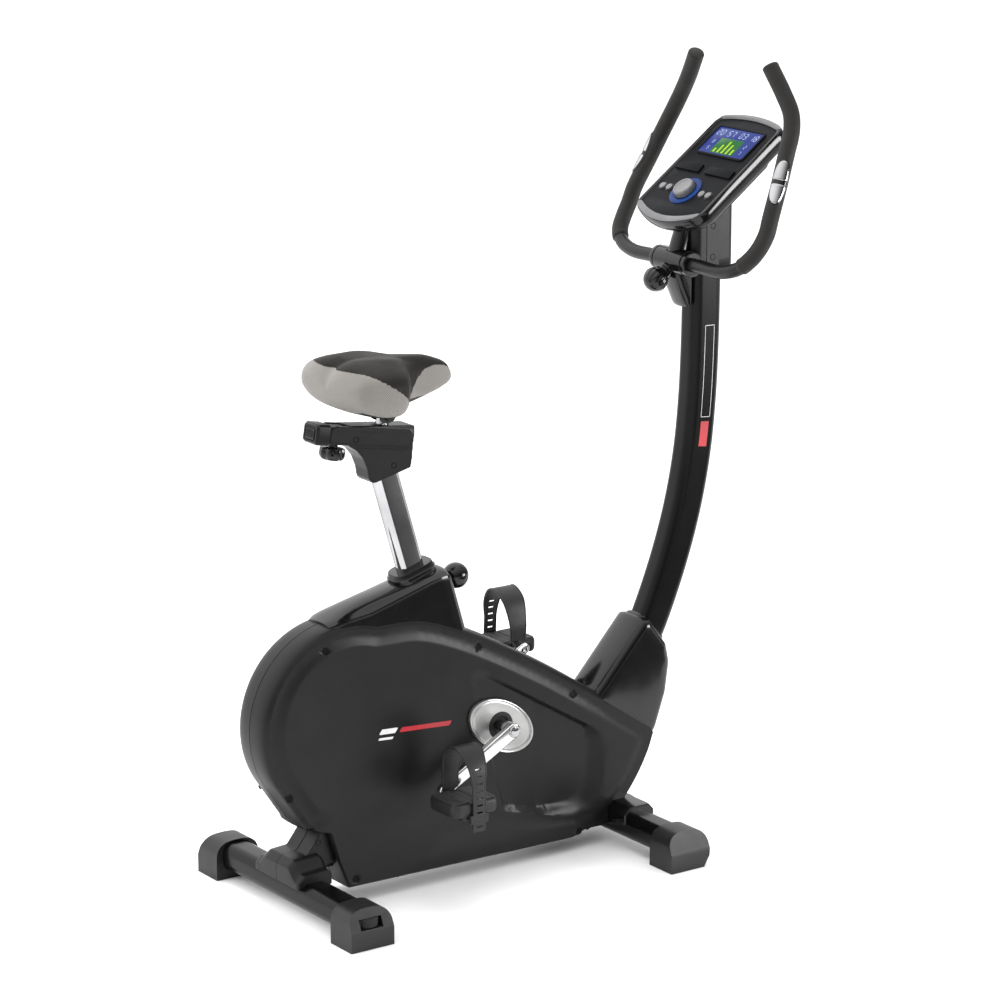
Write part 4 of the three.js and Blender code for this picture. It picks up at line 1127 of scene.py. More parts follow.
def saddle_pad():
    """Closed cushion from rings across the saddle: two plump lobes and a long nose."""
    rows = [0, 2, 5, 9, 15, 23, 33, *range(44, 244, 11), 249, 254, 257, 258]
    widths = np.array([along(SADDLE_HALF_WIDTH, s) for s in rows])
    for _ in range(2):
        widths[3:-3] = (widths[2:-4] + 2 * widths[3:-3] + widths[4:-2]) / 4
    rings = []
    for s, half in zip(rows, widths):
        plump = min(1.0, max(0.03, min(s, SADDLE_LENGTH - s) / 16)) ** 0.38
        middle = 6.0 + 4 * s / SADDLE_LENGTH
        top = (along(SADDLE_TOP, s) - middle) * plump
        under = (along(SADDLE_UNDER, s) - middle) * plump
        ring = []
        for i in range(56):
            angle = 2 * math.pi * i / 56
            c, n = math.cos(angle), math.sin(angle)
            y = half * math.copysign(abs(c) ** 0.72, c)
            groove = 7 * math.exp(-(y / 13) ** 2) * (1 - float(ease(s, 10, 90)))
            crest = 3 * math.exp(-((abs(y) - 44) / 22) ** 2) * (1 - float(ease(s, 90, 150)))
            if n >= 0:
                z = middle + (top + crest - groove) * n ** 0.72
            else:
                z = middle + under * abs(n) ** 0.62
            bulge = 6 * (1 - min(abs(y) / 80, 1) ** 2) * (1 - float(ease(s, 0, 60)))
            ring.append((s - bulge - 2 * (1 - float(ease(s, 0, 60))), y, z))
        rings.append(ring)
    return loft(rings)


def saddle():
    shape = moved(saddle_pad(), ON_SADDLE)
    pad = piece("saddle_cushion", shape, "vinyl", "saddle", ["saddle"], 180)
    remeshed(pad, 4.5)
    applied(pad)
    inflate(pad)
    smoother = pad.modifiers.new("smooth", "SUBSURF")
    smoother.levels = smoother.render_levels = 1
    applied(pad)
    pad.data.shade_smooth()
    paint_saddle(pad)


def inflate(pad):
    """Lets the cover settle over its filling as cloth with a light pressure inside."""
    last_frame, farthest = 20, 0.004
    before = [v.co.copy() for v in pad.data.vertices]
    cloth = pad.modifiers.new("cloth", "CLOTH")
    cloth.settings.effector_weights.gravity = 0
    cloth.settings.use_pressure = True
    cloth.settings.uniform_pressure_force = 4
    cloth.settings.tension_stiffness = 40
    cloth.settings.compression_stiffness = 40
    cloth.settings.bending_stiffness = 3
    cloth.point_cache.frame_start = 1
    cloth.point_cache.frame_end = last_frame
    for number in range(1, last_frame + 1):
        bpy.context.scene.frame_set(number)
    applied(pad)
    bpy.context.scene.frame_set(1)
    for vertex, start in zip(pad.data.vertices, before):
        shift = vertex.co - start
        vertex.co = start + shift * min(1.0, farthest / max(shift.length, 1e-9))


def on_saddle(point):
    """A mesh point in the saddle's own millimetres: along from the rear, across and up."""
    return ON_SADDLE.inverted() @ in_mm(point)


def unroll(point):
    """Lays the side of the saddle out flat, so that the weave runs evenly round the rear."""
    s, y, z = on_saddle(point)
    round_rear = 60 - 85 * math.atan2(60 - s, max(abs(y), 1e-3))
    return ((s if s > 60 else round_rear) / 1000, z / 1000)


def in_mesh(point):
    """Above 0 inside the mesh band or a nose panel, below 0 on the vinyl."""
    s, y, z = on_saddle(point)
    dip = 4 * math.exp(-(y / 28) ** 2) * (1 - min(max(s, 0) / 30, 1))
    band = along(BAND_TOP, s) - dip - z
    nose = along(NOSE_TOP, s) - z if abs(y) > 6 else -50
    under = 25 - abs(y) if s > 125 else 74 - abs(y)
    hidden = min(-26 - z, under * 0.5, s - 28) if s < 125 else -16 - z + (s - 180) * 0.1
    return min(max(band, nose), -hidden)


def paint_saddle(pad):
    """Gives the mesh band and nose panels their material, with their edges drawn to clean lines."""
    mesh = pad.data
    level = [in_mesh(v.co) for v in mesh.vertices]
    for a, b in (edge.vertices for edge in mesh.edges):
        if level[a] * level[b] < 0:
            near, far = (a, b) if abs(level[a]) < abs(level[b]) else (b, a)
            share = level[near] / (level[near] - level[far])
            mesh.vertices[near].co = mesh.vertices[near].co.lerp(mesh.vertices[far].co, share)
            level[near] = 0.0
    mesh.materials.clear()
    mesh.materials.append(FINISHES["vinyl"][0])
    mesh.materials.append(FINISHES["spacer_mesh"][0])
    for face in mesh.polygons:
        if sum(level[v] for v in face.vertices) > 0:
            face.material_index = 1
    weave = mesh.uv_layers.new(name="weave")
    for loop in mesh.loops:
        weave.data[loop.index].uv = unroll(mesh.vertices[loop.vertex_index].co)


# ------------------------------------------------------------------ cranks and pedals
def crank_end(side):
    turn = CRANK_ANGLE if side < 0 else CRANK_ANGLE + math.pi
    return (CRANK[0] + CRANK_LENGTH * math.cos(turn), CRANK[1] + CRANK_LENGTH * math.sin(turn))


def cranks():
    axle = turned(crank_centre(0), (0, 1, 0), [(9.5, -82), (9.5, 82)], 32)
    piece("crank_spindle", axle, "iron", "crank", ["crank_axle"])
    for label, side in SIDES:
        end = crank_end(side)
        rings = []
        for grow, y in ((-2.2, 82), (-0.6, 82.6), (0, 84), (0, 92), (-0.5, 93.8), (-1.8, 94.9), (-3.2, 95.2)):
            rings.append([(x, y, z) for x, z in link(CRANK, 14 + grow, end, 11 + grow, 20)])
        boss = turned(crank_centre(66), (0, 1, 0), [(13, 0), (13.6, 8), (14, 16), (14, 24)], 48)
        arm = merge(loft(rings), boss)
        piece(f"crank_{label}", sided(arm, side), "polished_steel", "crank", [f"crank_arm_{label}"], 50)
        cap = turned(crank_centre(94.8), (0, 1, 0), [
            (11.6, 0), (11.6, 1.4), (10.9, 2.2), (10.3, 1.6), (8.8, 1.6), (8.4, 2.6), (5, 3.4), (0.1, 3.6),
        ], 48)
        piece(f"crank_cap_{label}", sided(cap, side), "chrome", "crank")
        pedal(label, side, end)


PEDAL_MIDDLE = 150  # how far out a pedal's middle is


def pedal(label, side, at_end):
    x0, z0 = at_end
    body = f"pedal_{label}"

    def placed(shape):
        return sided(moved(shape, Matrix.Translation((x0, 0, z0))), side)

    def deck(x, wide, long, corner, profile):
        return loft(stack(wide, long, corner, profile, 7, x, PEDAL_MIDDLE))

    tray = deck(0, 96, 84, 15, [
        (-7, -18), (-2.2, -16.5), (-0.4, -13), (0, -8), (0, 2), (-0.6, 4.6), (-2.4, 6.6), (-6, 7),
    ])
    keel = deck(0, 54, 74, 9, [(-3, -26), (-0.8, -24.8), (0, -22), (0, -16)])
    boss = turned((0, 98, 0), (0, 1, 0), [(8, 0), (10.4, 1), (10.8, 4), (10.8, 13)], 36)
    piece(f"pedal_body_{label}", placed(merge(tray, keel, boss)), "strap", body, [f"pedal_{label}"], 34)
    pad = [(-1, 6.4), (-0.2, 7.4), (0, 7.9), (-0.8, 8.7), (-2.2, 9)]
    treads = [deck(x, 38, 73, 8, pad) for x in (-26.5, 26.5)]
    treads.append(deck(0, 16, 60, 4, [(-1, 6.4), (0, 7.2), (-0.4, 7.8), (-1.6, 8)]))
    piece(f"pedal_tread_{label}", placed(merge(*treads)), "pedal_tread", body, crease=40)
    pin = turned((0, 90, 0), (0, 1, 0), [(6.5, 0), (6.5, 9)], 28)
    nut = turned((0, 95, 0), (0, 1, 0), [(9.8, 0), (9.8, 2.6), (8.6, 3.4), (6, 3.4)], 6)
    end_cap = turned((0, 95.4, 0), (0, -1, 0), [(6.4, 0), (6.4, 14), (5, 15), (0.1, 15.2)], 32)
    piece(f"pedal_spindle_{label}", placed(merge(pin, nut, end_cap)), "polished_steel", body)
    strap(label, side, placed)


STRAP_WIDTHS = [(0, 27), (0.3, 27), (0.42, 38), (0.55, 52), (0.72, 48), (0.86, 38), (1, 32)]


def strap(label, side, placed):
    """Rubber toe strap: wide and smooth over the foot, narrow and punched where it buckles."""
    line = [(194.2, -46), (195.9, -12), (195.5, 20), (188, 72), (158, 100), (124, 86), (107, 44), (105.8, 9)]
    path = smooth_path([(2, y, z) for y, z in line], 88)
    last = len(path) - 1

    def section(t):
        return rounded_rect(along(STRAP_WIDTHS, t), 2.8, 1.3, 3)

    shape = placed(swept(path, section, (1, 0, 0)))
    band = piece(f"strap_band_{label}", shape, "strap", f"pedal_{label}", [f"pedal_strap_{label}"], 40)
    slots = []
    for x, y, z in path[3:36:4]:
        slots.append(placed(block(x - 6, x + 6, y - 9, y + 9, z - 1.5, z + 1.5)))
    bored(band, merge(*slots))
    rims = []
    for offset in (-1, 1):
        rim_path = []
        for i, (x, y, z) in enumerate(path):
            rim_path.append((x + offset * (along(STRAP_WIDTHS, i / last) / 2 - 1.6), y, z))
        rims.append(swept(rim_path, circle(2.0, 10), (1, 0, 0)))
    piece(f"strap_rims_{label}", placed(merge(*rims)), "strap", f"pedal_{label}", crease=60)
    buckle = block(-17, 21, 190.5, 197.5, -30, -14)
    piece(f"strap_buckle_{label}", placed(buckle), "strap", f"pedal_{label}", bevel=1.4)


# ------------------------------------------------------------------ handlebar
BAR_SIDE = [
    (828, 130, 1057), (835, 171, 1068), (846, 191, 1086), (860, 199, 1106), (874, 201, 1130),
    (884, 199, 1157), (910, 189, 1211), (935, 178, 1265), (952, 170, 1302), (960, 158, 1332),
    (959, 136, 1366), (953, 108, 1408),
]
BAR_RADIUS = 12.7
GRIP_RADIUS = 15.2
GRIP_LENGTH = 400


def bar_path():
    right = [(x, -y, z) for x, y, z in reversed(BAR_SIDE)]
    return smooth_path([*right, (828, -60, 1057), (828, 60, 1057), *BAR_SIDE], 321)


def handlebar():
    path = bar_path()
    tube = swept(path, circle(BAR_RADIUS, 28), (1, 0, 0))
    piece("handlebar", tube, "powder_coat", "handlebar", ["handlebar_tube"], 50)
    held = int(GRIP_LENGTH / float(np.linalg.norm(path[1] - path[0])))
    for label, side in SIDES:
        grip = path[-held:] if side > 0 else path[:held][::-1]
        tip = Vector(grip[-1]) - Vector(grip[-2])
        tip.normalize()
        foam = [*grip, *(Vector(grip[-1]) + tip * k for k in (2, 4, 5.5))]
        last = len(foam) - 1

        def section(t, last=last):
            k = t * last
            ends = min(k + 0.25, (last - k) * 0.5 + 0.12, 1)
            return circle(GRIP_RADIUS * (0.72 + 0.28 * ends ** 0.5), 36)

        cover = swept(foam, section, (1, 0, 0))
        piece(f"foam_grip_{label}", cover, "foam", "handlebar", [f"grip_{label}"], 60)
        sensor(label, side)


def sensor(label, side):
    """Two chrome contact plates in a black frame, on the grip's outer rear."""
    lengthwise = Vector((26, -10, 54)).normalized()
    outward, across = axes(lengthwise, (-0.7, 0.7, 0))
    middle = Vector((911, 188.5, 1214.5))

    def plate(long, wide, start, stop, low, high):
        """A part of an oval, from start to stop along the bar and bent round it."""
        rings = []
        for u in np.linspace(start, stop, 25):
            half = wide * max(1 - (abs(u) / long) ** 2.2, 0.01) ** 0.5
            end = min(1.0, 0.35 + min(u - start, stop - u) / 1.5)
            ring = []
            for t in np.linspace(-1, 1, 15):
                reach = high - (1.6 - 1.6 * end) - 0.9 * abs(t) ** 8
                ring.append((half * t, reach))
            ring += [(half * t, low) for t in (1, 0.5, 0, -0.5, -1)]
            bent = []
            for v, reach in ring:
                turn = v / 15.5
                away = outward * math.cos(turn) + across * math.sin(turn)
                bent.append(middle + lengthwise * u + away * reach)
            rings.append(bent)
        return loft(rings)

    rim = plate(43, 18.5, -42.5, 42.5, 12, 16.2)
    piece(f"sensor_frame_{label}", sided(rim, side), "gloss_black", "handlebar", crease=35)
    halves = merge(plate(40, 15, -39.5, -4, 13, 17.4), plate(40, 15, 4, 39.5, 13, 17.4))
    piece(f"sensor_plates_{label}", sided(halves, side), "chrome", "handlebar", [f"pulse_sensor_{label}"], 40)


def bar_clamp():
    """The split cover round the bar's middle, its skirt below and the ribbed knob."""
    middle = (BAR_AXIS[0], 0, BAR_AXIS[1])
    barrel = turned((middle[0], -51, middle[2]), (0, 1, 0), [
        (14.5, 0), (20.5, 0), (22.2, 1.2), (22.6, 3), (22.6, 9), (21, 10), (21, 11.5), (23.2, 12.6),
        (23.4, 16),
        (23.4, 86), (23.2, 89.4), (21, 90.5), (21, 92), (22.6, 93), (22.6, 99), (22.2, 100.8), (20.5, 102),
        (14.5, 102),
    ], 72)
    skirt = rounded(
        [(806, 1056), (830, 1078), (852, 1070), (852, 975), (838, 970), (822, 1005), (812, 1030)],
        [2, 10, 4, 4, 10, 30, 20], 6,
    )
    lower = pillow(skirt, (835, 1035), ((0, 0), (0.4, 10), (1.6, 18), (4, 23), (8, 25.6), (11, 26)), 120)
    for label, side in SIDES:
        other_half = block(760, 920, *sorted((-0.35 * side, -80 * side)), 900, 1200)
        for name, shape in (("barrel", barrel), ("skirt", lower)):
            stands_for = [f"clamp_cover_{label}"] if name == "barrel" else ()
            cover = piece(f"clamp_{name}_{label}", shape, "gloss_black", "frame", stands_for, 30)
            bored(cover, other_half)
    neck = turned((830, 0, 1064), (20, 0, 60), [(19, 0), (18.4, 20), (18, 46), (20, 60)], 48)
    piece("console_neck", neck, "gloss_black", "frame", crease=50)
    direction = Vector((-0.84, 0, -0.54))
    collar = turned(middle, direction, [
        (13, 20), (14, 25), (13, 28), (11.5, 29), (11.5, 33), (15, 34), (15.6, 36), (15.6, 48), (12, 50),
    ], 60, fluted(0.045, 16, 5, 7))
    piece("bar_knob_collar", collar, "gloss_black", "handlebar_knob")

    def ribs(angle, k):
        return 1 + 0.03 * math.cos(14 * angle) * max(0, 1 - abs(k - 14) / 13)

    knob = turned(middle, direction, ball(22.5, 53.5, 30, 178, 34), 112, ribs)
    piece("bar_knob", knob, "gloss_black", "handlebar_knob", ["handlebar_knob"], 60)


# ------------------------------------------------------------------ console
FACE_X = Vector((math.cos(CONSOLE_TILT), 0, math.sin(CONSOLE_TILT)))
FACE_Z = Vector((-math.sin(CONSOLE_TILT), 0, math.cos(CONSOLE_TILT)))
FACE_LOW, FACE_HIGH = -178, 57
ON_FACE = placing((CONSOLE_AT[0], 0, CONSOLE_AT[1]), FACE_X, (0, 1, 0), FACE_Z)
KEYS_X = -128  # the row of the dial and keys


def bowed(x, y):
    """Bends a straight-ended outline to the console's curved lower and upper ends."""
    arch = 1 - (y / 97) ** 2
    low = ease(-x - 60, 0, 118)
    high = ease(x, 0, FACE_HIGH)
    return x - 31 * arch * low + 16 * arch * high


def face_outline(inset, corner=16, count=160):
    middle = (FACE_LOW + FACE_HIGH) / 2
    raw = rounded_rect(FACE_HIGH - FACE_LOW - 2 * inset, 2 * (95 - inset), max(corner - inset * 0.5, 3), 10)
    dense = resampled(raw, count, closed=True)
    points = []
    for x, y in dense:
        taper = 1 + 0.017 * (middle - x) / 117
        points.append((bowed(x + middle, y), y * taper))
    return points


def faced(shape):
    return moved(shape, ON_FACE)


def face_plate(points, z0, z1, edge=0.6):
    """A flat plate on the console's face with softened upper edges."""
    centre = np.mean(np.array(points), axis=0)
    rings = []
    for z, pull in ((z0, 0), (z1 - edge, 0), (z1 - edge * 0.3, edge * 0.35), (z1, edge)):
        ring = []
        for p in points:
            offset = np.array(p) - centre
            ring.append((*(centre + offset * (1 - pull / max(np.linalg.norm(offset), 1e-6))), z))
        rings.append(ring)
    return loft(rings)


def console_case():
    rim = [
        (9, -6.5), (9, -1.2), (7.6, -0.2), (5.2, 0.6), (2.4, 0.2), (0.8, -1.2), (0, -3.6), (0, -14),
        (0.6, -17),
    ]
    rings = [[(x, y, z) for x, y in face_outline(inset)] for inset, z in rim]
    piece("console_bezel", faced(loft(rings, caps=False)), "gloss_black", "frame", ["console_case_front"], 28)
    face = face_plate(face_outline(8.6), -6, -1.4, 0.4)
    piece("console_face", faced(face), "face", "frame", crease=28)
    back = []
    box_outline = resampled(rounded_rect(160, 112, 16, 10), 160, closed=True)
    shell_outline = np.array(face_outline(1.2))
    for share, z in (
        (0, -16), (0, -17.5), (0.02, -20), (0.06, -27), (0.16, -33), (0.34, -37), (0.62, -41), (0.84, -46),
        (0.97, -53), (1, -56),
    ):
        mixed = shell_outline * (1 - share) + (box_outline + np.array((-60, 0))) * share
        back.append([(x, y, z) for x, y in mixed])
    piece("console_back", faced(loft(back)), "shell", "frame", ["console_case_back"], 30)


def bow_strip(x0, x1, half, z0, z1):
    """A curved trim strip across the console's end."""
    rings = []
    for y in np.linspace(-half, half, 49):
        tip = max(0.15, min(1, (half - abs(y)) / 6)) ** 0.5
        middle, wide = (x0 + x1) / 2, (x1 - x0) / 2 * tip
        section = [
            (-wide, z0), (-wide, z1 - 1.2), (-wide * 0.75, z1 - 0.2), (0, z1), (wide * 0.75, z1 - 0.2),
            (wide, z1 - 1.2), (wide, z0),
        ]
        rings.append([(bowed(middle + a, y), y, z) for a, z in section])
    return loft(rings)


SEGMENTS = {
    "a": ((-1, 2), (1, 2)), "b": ((1, 2), (1, 0)), "c": ((1, 0), (1, -2)), "d": ((-1, -2), (1, -2)),
    "e": ((-1, 0), (-1, -2)), "f": ((-1, 2), (-1, 0)), "g": ((-1, 0), (1, 0)),
}
DIGITS = {"0": "abcdef", "1": "bc", "2": "abged", "3": "abgcd", "5": "afgcd", "7": "abc", "8": "abcdefg"}


def digit(sign, x, y, size, z):
    """A seven-segment figure, upright for the rider: up the face is +x and right is -y."""
    bars = []
    lean, wide, thick = 0.12, 0.11 * size, 0.25
    for key in DIGITS[sign]:
        ends = [((u * 0.5 + v * 0.5 * lean) * size, v * 0.5 * size) for u, v in SEGMENTS[key]]
        (ua, va), (ub, vb) = ends
        if va == vb:
            extent = (x + va - wide, x + va + wide, y - ub + wide, y - ua - wide)
        else:
            low, high = sorted((va, vb))
            middle = (ua + ub) / 2
            extent = (x + low + wide, x + high - wide, y - middle - wide, y - middle + wide)
        bars.append(block(*extent, z, z + thick))
    return merge(*bars)


def console_screen():
    glass = face_plate(rounded([(-33, -63), (33, -63), (33, 63), (-33, 63)], 4), -3, 0.3, 0.5)
    piece("screen_glass", faced(glass), "screen_blue", "frame", ["screen_lens"])
    surround = stack(66, 126, 4, [(0, -2), (0, 0.9), (0.8, 1.5), (3.4, 1.5), (4.6, 0.6), (5, -2)], 6)
    piece("screen_frame", faced(loft(surround, caps=False)), "face", "frame", crease=30)
    field = face_plate(rounded([(-30, -32), (8, -32), (8, 33), (-30, 33)], 2), 0.2, 0.45, 0.1)
    piece("screen_field", faced(field), "screen_green", "frame")
    bars = []
    for k, rows in enumerate((3, 6, 9, 7, 4)):
        y = 26 - k * 12
        for row in range(rows):
            bars.append(block(-28 + row * 3.4, -25.4 + row * 3.4, y - 4.6, y, 0.4, 0.62))
    piece("screen_bars", faced(merge(*bars)), "screen_lime", "frame")
    signs = []
    for text, y, x, size in (
        ("20", 52, 20, 6.5), ("57", 22, 20, 6.5), ("03", -12, 20, 6.5), ("18", -42, 20, 6.5),
        ("8", 45, -4, 4), ("2", -45, -4, 4), ("5", 45, -20, 4), ("7", -45, -20, 4),
    ):
        for k, sign in enumerate(text):
            signs.append(digit(sign, x, y - k * size * 1.7, size, 0.35))
    piece("screen_digits", faced(merge(*signs)), "screen_digit", "frame")


def console_controls():
    strips = merge(bow_strip(-176, -163, 88, -3, 1.2), bow_strip(46, 56, 84, -3, 1.2))
    piece("console_strips", faced(strips), "trim_silver", "frame", crease=40)
    ledges = []
    for y0, y1 in ((10, 80), (-80, -5)):
        plate = rounded([(-82, y0), (-62, y0 + 3), (-62, y1 - 3), (-82, y1)], 3)
        ledges.append(face_plate(plate, -3, 2.2, 1.2))
    piece("console_ledges", faced(merge(*ledges)), "face", "frame", crease=30)
    ring = turned((KEYS_X, 0, -2), (0, 0, 1), [
        (22.6, 0), (22.6, 2.6), (24, 3.2), (32, 2.6), (33, 1.8), (33, 0),
    ], 96)
    piece("dial_ring", faced(ring), "dial_blue", "frame", crease=40)
    dial = turned((KEYS_X, 0, 1), (0, 0, 1), [
        (21, 0), (21, 3), (20.6, 8), (20, 9.6), (18.6, 11), (16.5, 11), (15.6, 10.2), (10, 9.4), (0.1, 9.2),
    ], 144, fluted(0.018, 36, 1, 3))
    piece("dial", faced(dial), "button", "console_dial", ["console_dial"], 40)
    for number, y in enumerate((66, 47, -47, -66), start=1):
        cap = turned((KEYS_X, y, -0.1), (0, 0, 1), [(7, 0), (7, 1.3), (6.4, 2), (5, 2.4), (0.1, 2.6)], 40)
        button = f"console_button_{number}"
        piece(f"key_{number}", faced(cap), "button", button, [button], 50)
        rim = turned((KEYS_X, y, -2), (0, 0, 1), [(7.6, 0), (7.6, 1.4), (8.2, 1.8), (9.2, 1.4), (9.6, 0)], 40)
        piece(f"key_rim_{number}", faced(rim), "gloss_black", "frame", crease=50)


# ------------------------------------------------------------------ feet
TUBE_Z = 41  # the middle of both stabilisers
ROLLER_X, ROLLER_Z = 23.3, 22
LEVELLER_Y = 226


def stabilisers():
    outline = rounded_rect(60, 50, 19.5, 12)
    for name, x in (("rear", 0), ("front", FRONT_X)):
        tube = loft([[(x + a, y, TUBE_Z + b) for a, b in outline] for y in (-198, -100, 0, 100, 198)])
        piece(f"{name}_tube", tube, "mast_paint", "frame", [f"{name}_stabiliser"], 60)
        for label, side in SIDES:
            end_cap(name, label, side, x)


def end_cap(name, label, side, x0):
    """A moulded end of a stabiliser, hollowed for its tube and for its roller or levelling wheel."""
    front = name == "front"
    foot = [(-43.5, 0), (30.5, 0), (42.5, 20)] if front else [(-43.5, 0), (43.5, 0)]
    half = [(43.5, 38), (42, 51), (35.5, 61.5), (25, 68), (10, 70.5)]
    crown = smooth_path([*half, *((-x, z) for x, z in reversed(half))], 44)
    solid = extruded([(x0 + x, z) for x, z in [*foot, *crown]], 187.25, 252.75)
    hollow = extruded([(x0 + a, TUBE_Z + b) for a, b in rounded_rect(61, 51, 19.5, 8)], 180, 198.6)
    slope = [(252.75, 33), (240.5, 60), (233, 80), (290, 80), (290, 33)]
    lean = loft([[(x, y, z) for y, z in slope] for x in (x0 - 60, x0 + 60)])
    shape = sided(solid, side)
    cap = piece(f"{name}_end_{label}", shape, "cap_plastic", "frame", [f"{name}_cap_{label}"], 28)
    tools = [hollow, lean, *(roller_wells(x0 + ROLLER_X) if front else leveller_wells(x0))]
    bored(cap, *(sided(tool, side) for tool in tools))
    soften(cap, 1.6, 3, 26)
    shade(cap.data, 26)
    if front:
        body = f"transport_wheel_{label}"
        piece(f"roller_{label}", sided(roller(x0 + ROLLER_X), side), "rubber", body, [body], 40)
    else:
        body = f"levelling_wheel_{label}"
        piece(f"levelling_foot_{label}", sided(leveller(x0), side), "rubber", body, [body], 40)


def roller_wells(x):
    return [
        turned((x, 212, ROLLER_Z), (0, 1, 0), [(20.8, 0), (20.8, 20)], 40),
        block(x, x + 46.7, 212, 232, -2, 43),
        block(x - 21.3, x + 0.7, 212, 232, -2, ROLLER_Z),
    ]


def roller(x):
    return turned((x, 213, ROLLER_Z), (0, 1, 0), [
        (4, -6), (4, 0), (15, 0), (17.5, 0.6), (19, 2.4), (19, 7.6), (18.2, 8.4), (18.2, 9.6), (19, 10.4),
        (19, 15.6), (17.5, 17.4), (15, 18), (4, 18), (4, 24),
    ], 64)


def leveller_wells(x):
    return [
        turned((x, LEVELLER_Y, 36), (0, 0, 1), [(25.5, 0), (25.5, 18)], 40),
        block(x - 22.5, x + 22.5, LEVELLER_Y, 262, 36, 54),
    ]


def leveller(x):
    """A toothed wheel on its stem, with the pad that it stands on."""
    wheel = turned((x, LEVELLER_Y, 36.5), (0, 0, 1), [
        (20, 0), (23.4, 1.2), (23.4, 8.5), (23.4, 15.8), (20, 17), (3, 17),
    ], 180, fluted(0.022, 30, 1, 3))
    stem = rod((x, LEVELLER_Y, 8), (x, LEVELLER_Y, 37), 6)
    pad = turned((x, LEVELLER_Y, 2.5), (0, 0, 1), [(15.5, -2.4), (17, -1), (17, 5), (15, 6), (6, 6)], 48)
    return merge(wheel, stem, pad)


def rear_foot():
    """Two moulded halves over the tube, stepping up to the leaning leg."""
    rings = []
    for y in (0.4, 20, 34, 38, 42, 46, 50, 54, 58, 62, 68, 71, 72):
        height = 104 - 20 * float(ease(y, 36, 62))
        shrink = 1 if y < 70 else 0.97 - 0.03 * (y - 71)
        outline = [(-35, 57), (35, 57), (35, height - 9), (27, height), (-22, height - 3), (-35, height - 15)]
        rings.append([
            (x * shrink, y, 57 + (z - 57) * shrink) for x, z in rounded(outline, [1, 1, 6, 5, 7, 6], 5)
        ])
    leg = rounded([(-20, 84), (-12, 96), (8, 104), (24, 124), (40, 146), (64, 154), (68, 78), (-14, 78)],
                  [4, 8, 14, 60, 14, 4, 2, 2], 6)
    for label, side in SIDES:
        moulding = sided(loft(rings), side)
        piece(f"rear_foot_{label}", moulding, "shell", "frame", ["rear_foot_cover"] if side > 0 else (), 28)
        upright = sided(extruded(leg, 0.4, 35), side)
        piece(f"rear_leg_{label}", upright, "shell", "frame", bevel=2.6)
        screws(f"rear_leg_{label}", "frame", [(30, 35, 122), (50, 35, 136)], radius=4.2, side=side)


def front_foot():
    """A ball knuckle over a chamfered saddle."""
    knuckle = turned((668, 0, 60), (0, 0, 1), ball(36, 0, 14, 178, 30), 72)
    piece("front_knuckle", knuckle, "gloss_black", "frame", ["front_leg"], 60)
    corners = [(649, 47), (718, 47), (718, 66), (706, 79), (662, 79), (649, 66)]
    section = rounded(corners, [2, 2, 4, 5, 5, 4], 4)
    half = [(44, 1.03), (52, 1), (90, 1), (96, 0.97), (98, 0.9)]
    rings = []
    for y, shrink in [*((-y, shrink) for y, shrink in reversed(half)), *half]:
        rings.append([(684 + (x - 684) * shrink, y, 47 + (z - 47) * shrink) for x, z in section])
    piece("front_saddle", loft(rings), "gloss_black", "frame", crease=26)


def carried_nodes():
    for node, material in (
        ("frame_spine", "powder_coat"), ("seat_tube", "powder_coat"), ("drive_bracket", "powder_coat"),
        ("power_inlet", "gloss_black"), ("resistance_motor", "shell"), ("crank_bearing", "chrome"),
        ("drive_belt", "rubber"), ("flywheel", "iron"), ("magnet_bracket", "iron"),
    ):
        carried(node, material)


# ------------------------------------------------------------------ studio
def studio():
    floor = sheet("floor", [(-30, -30, 0), (30, -30, 0), (30, 60, 0), (-30, 60, 0)])
    nodes = Nodes("studio_floor")
    shade = nodes.span(nodes.noise(0.6), 0.0, 1.0)
    nodes.set(Base_Color=nodes.mix(shade, (0.93, 0.93, 0.93), (0.95, 0.95, 0.95)), Roughness=0.7)
    coloured(floor, nodes.material)
    dark_card()
    sky()
    lamps()


def sheet(name, points):
    """A flat face through points in metres."""
    mesh = bpy.data.meshes.new(name)
    mesh.from_pydata(points, [], [tuple(range(len(points)))])
    return linked(name, mesh)


def dark_card():
    """A grey sheet on the floor that only reflections see; it darkens the glossy pieces' undersides."""
    ahead = Vector((0.575, 0.818, 0))
    across = Vector((0.818, -0.575, 0))
    lift = Vector((0, 0, 0.003))
    spots = [(1.0, -3.4), (5.2, -3.4), (5.2, 1.4), (2.2, 0.6), (1.0, -0.2)]
    card = sheet("dark_card", [across * a + ahead * b + lift for a, b in spots])
    coloured(card, FINISHES["grey_card"][0])
    card.visible_camera = False
    card.visible_diffuse = False
    card.visible_shadow = False


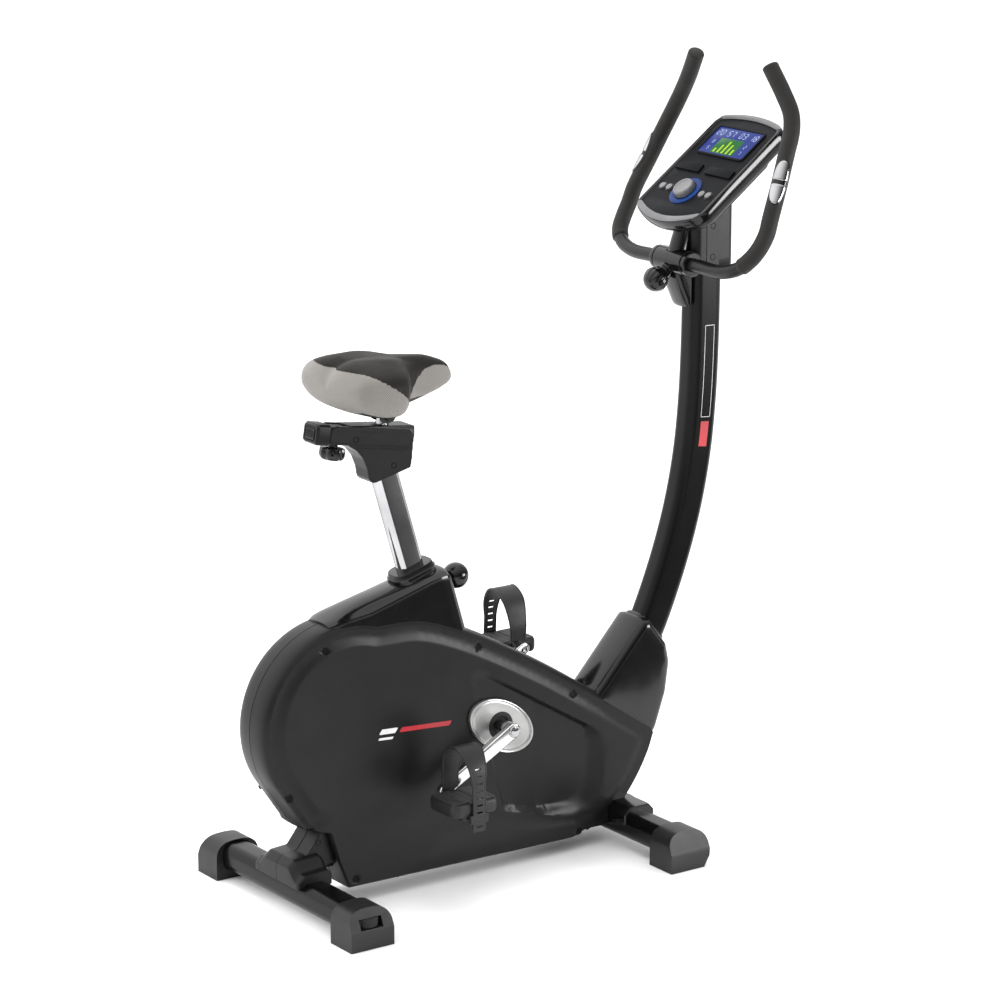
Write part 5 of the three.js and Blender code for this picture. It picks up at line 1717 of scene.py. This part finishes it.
def sky():
    """A white world that is brighter overhead and on the bike's left."""
    world = bpy.data.worlds.new("studio")
    world.use_nodes = True
    tree = world.node_tree
    where = tree.nodes.new("ShaderNodeTexCoord")
    tilt = tree.nodes.new("ShaderNodeVectorMath")
    tilt.operation = "DOT_PRODUCT"
    tilt.inputs[1].default_value = (-0.25, 0.5, 0.83)
    fade = tree.nodes.new("ShaderNodeMapRange")
    fade.interpolation_type = "SMOOTHSTEP"
    for key, number in zip((1, 2, 3, 4), (-0.45, 0.9, 0.05, 1.9)):
        fade.inputs[key].default_value = number
    tree.links.new(where.outputs["Generated"], tilt.inputs[0])
    tree.links.new(tilt.outputs["Value"], fade.inputs[0])
    tree.links.new(fade.outputs[0], tree.nodes["Background"].inputs["Strength"])
    tree.nodes["Background"].inputs["Color"].default_value = (1, 1, 1, 1)
    bpy.context.scene.world = world
    bpy.context.scene.view_settings.view_transform = "Standard"


def lamps():
    """Three soft lamps; only the right one shows in reflections."""
    for name, place, aim, size, power in (
        ("key_left", (-3.6, 0.9, 2.6), (0, 0, 0.6), (1.4, 2.4), 60),
        ("top", (0.2, 0.6, 4.2), (0, 0, 0.5), (2.6, 1.6), 70),
        ("right", (3.0, -3.2, 1.0), (0, 0, 0.5), (1.9, 1.1), 130),
    ):
        light = bpy.data.lights.new(name, "AREA")
        light.shape = "RECTANGLE"
        light.size, light.size_y = size
        light.energy = power
        lamp = linked(name, light)
        lamp.location = place
        lamp.visible_glossy = name == "right"
        lamp.rotation_euler = (Vector(aim) - Vector(place)).to_track_quat("-Z", "Y").to_euler()


def photo_camera():
    """The camera of the photograph, as fitted in the frame's metres."""
    camera = bpy.data.cameras.new("photo_view")
    camera.lens = 139.25
    camera.sensor_width = 36
    obj = linked("photo_view", camera)
    right = Vector((0.81784, -0.57543, 0))
    up = Vector((0.14359, 0.20408, 0.96836))
    look = Vector((0.55723, 0.79197, -0.24954))
    obj.matrix_world = placing((-3.8481, -5.4240, 2.3782), right, up, -look)
    bpy.context.scene.camera = obj


housing()
seat_shroud()
mast_shroud()
mast()
seat_column()
saddle()
cranks()
handlebar()
bar_clamp()
console_case()
console_screen()
console_controls()
stabilisers()
rear_foot()
front_foot()
carried_nodes()
studio()
photo_camera()
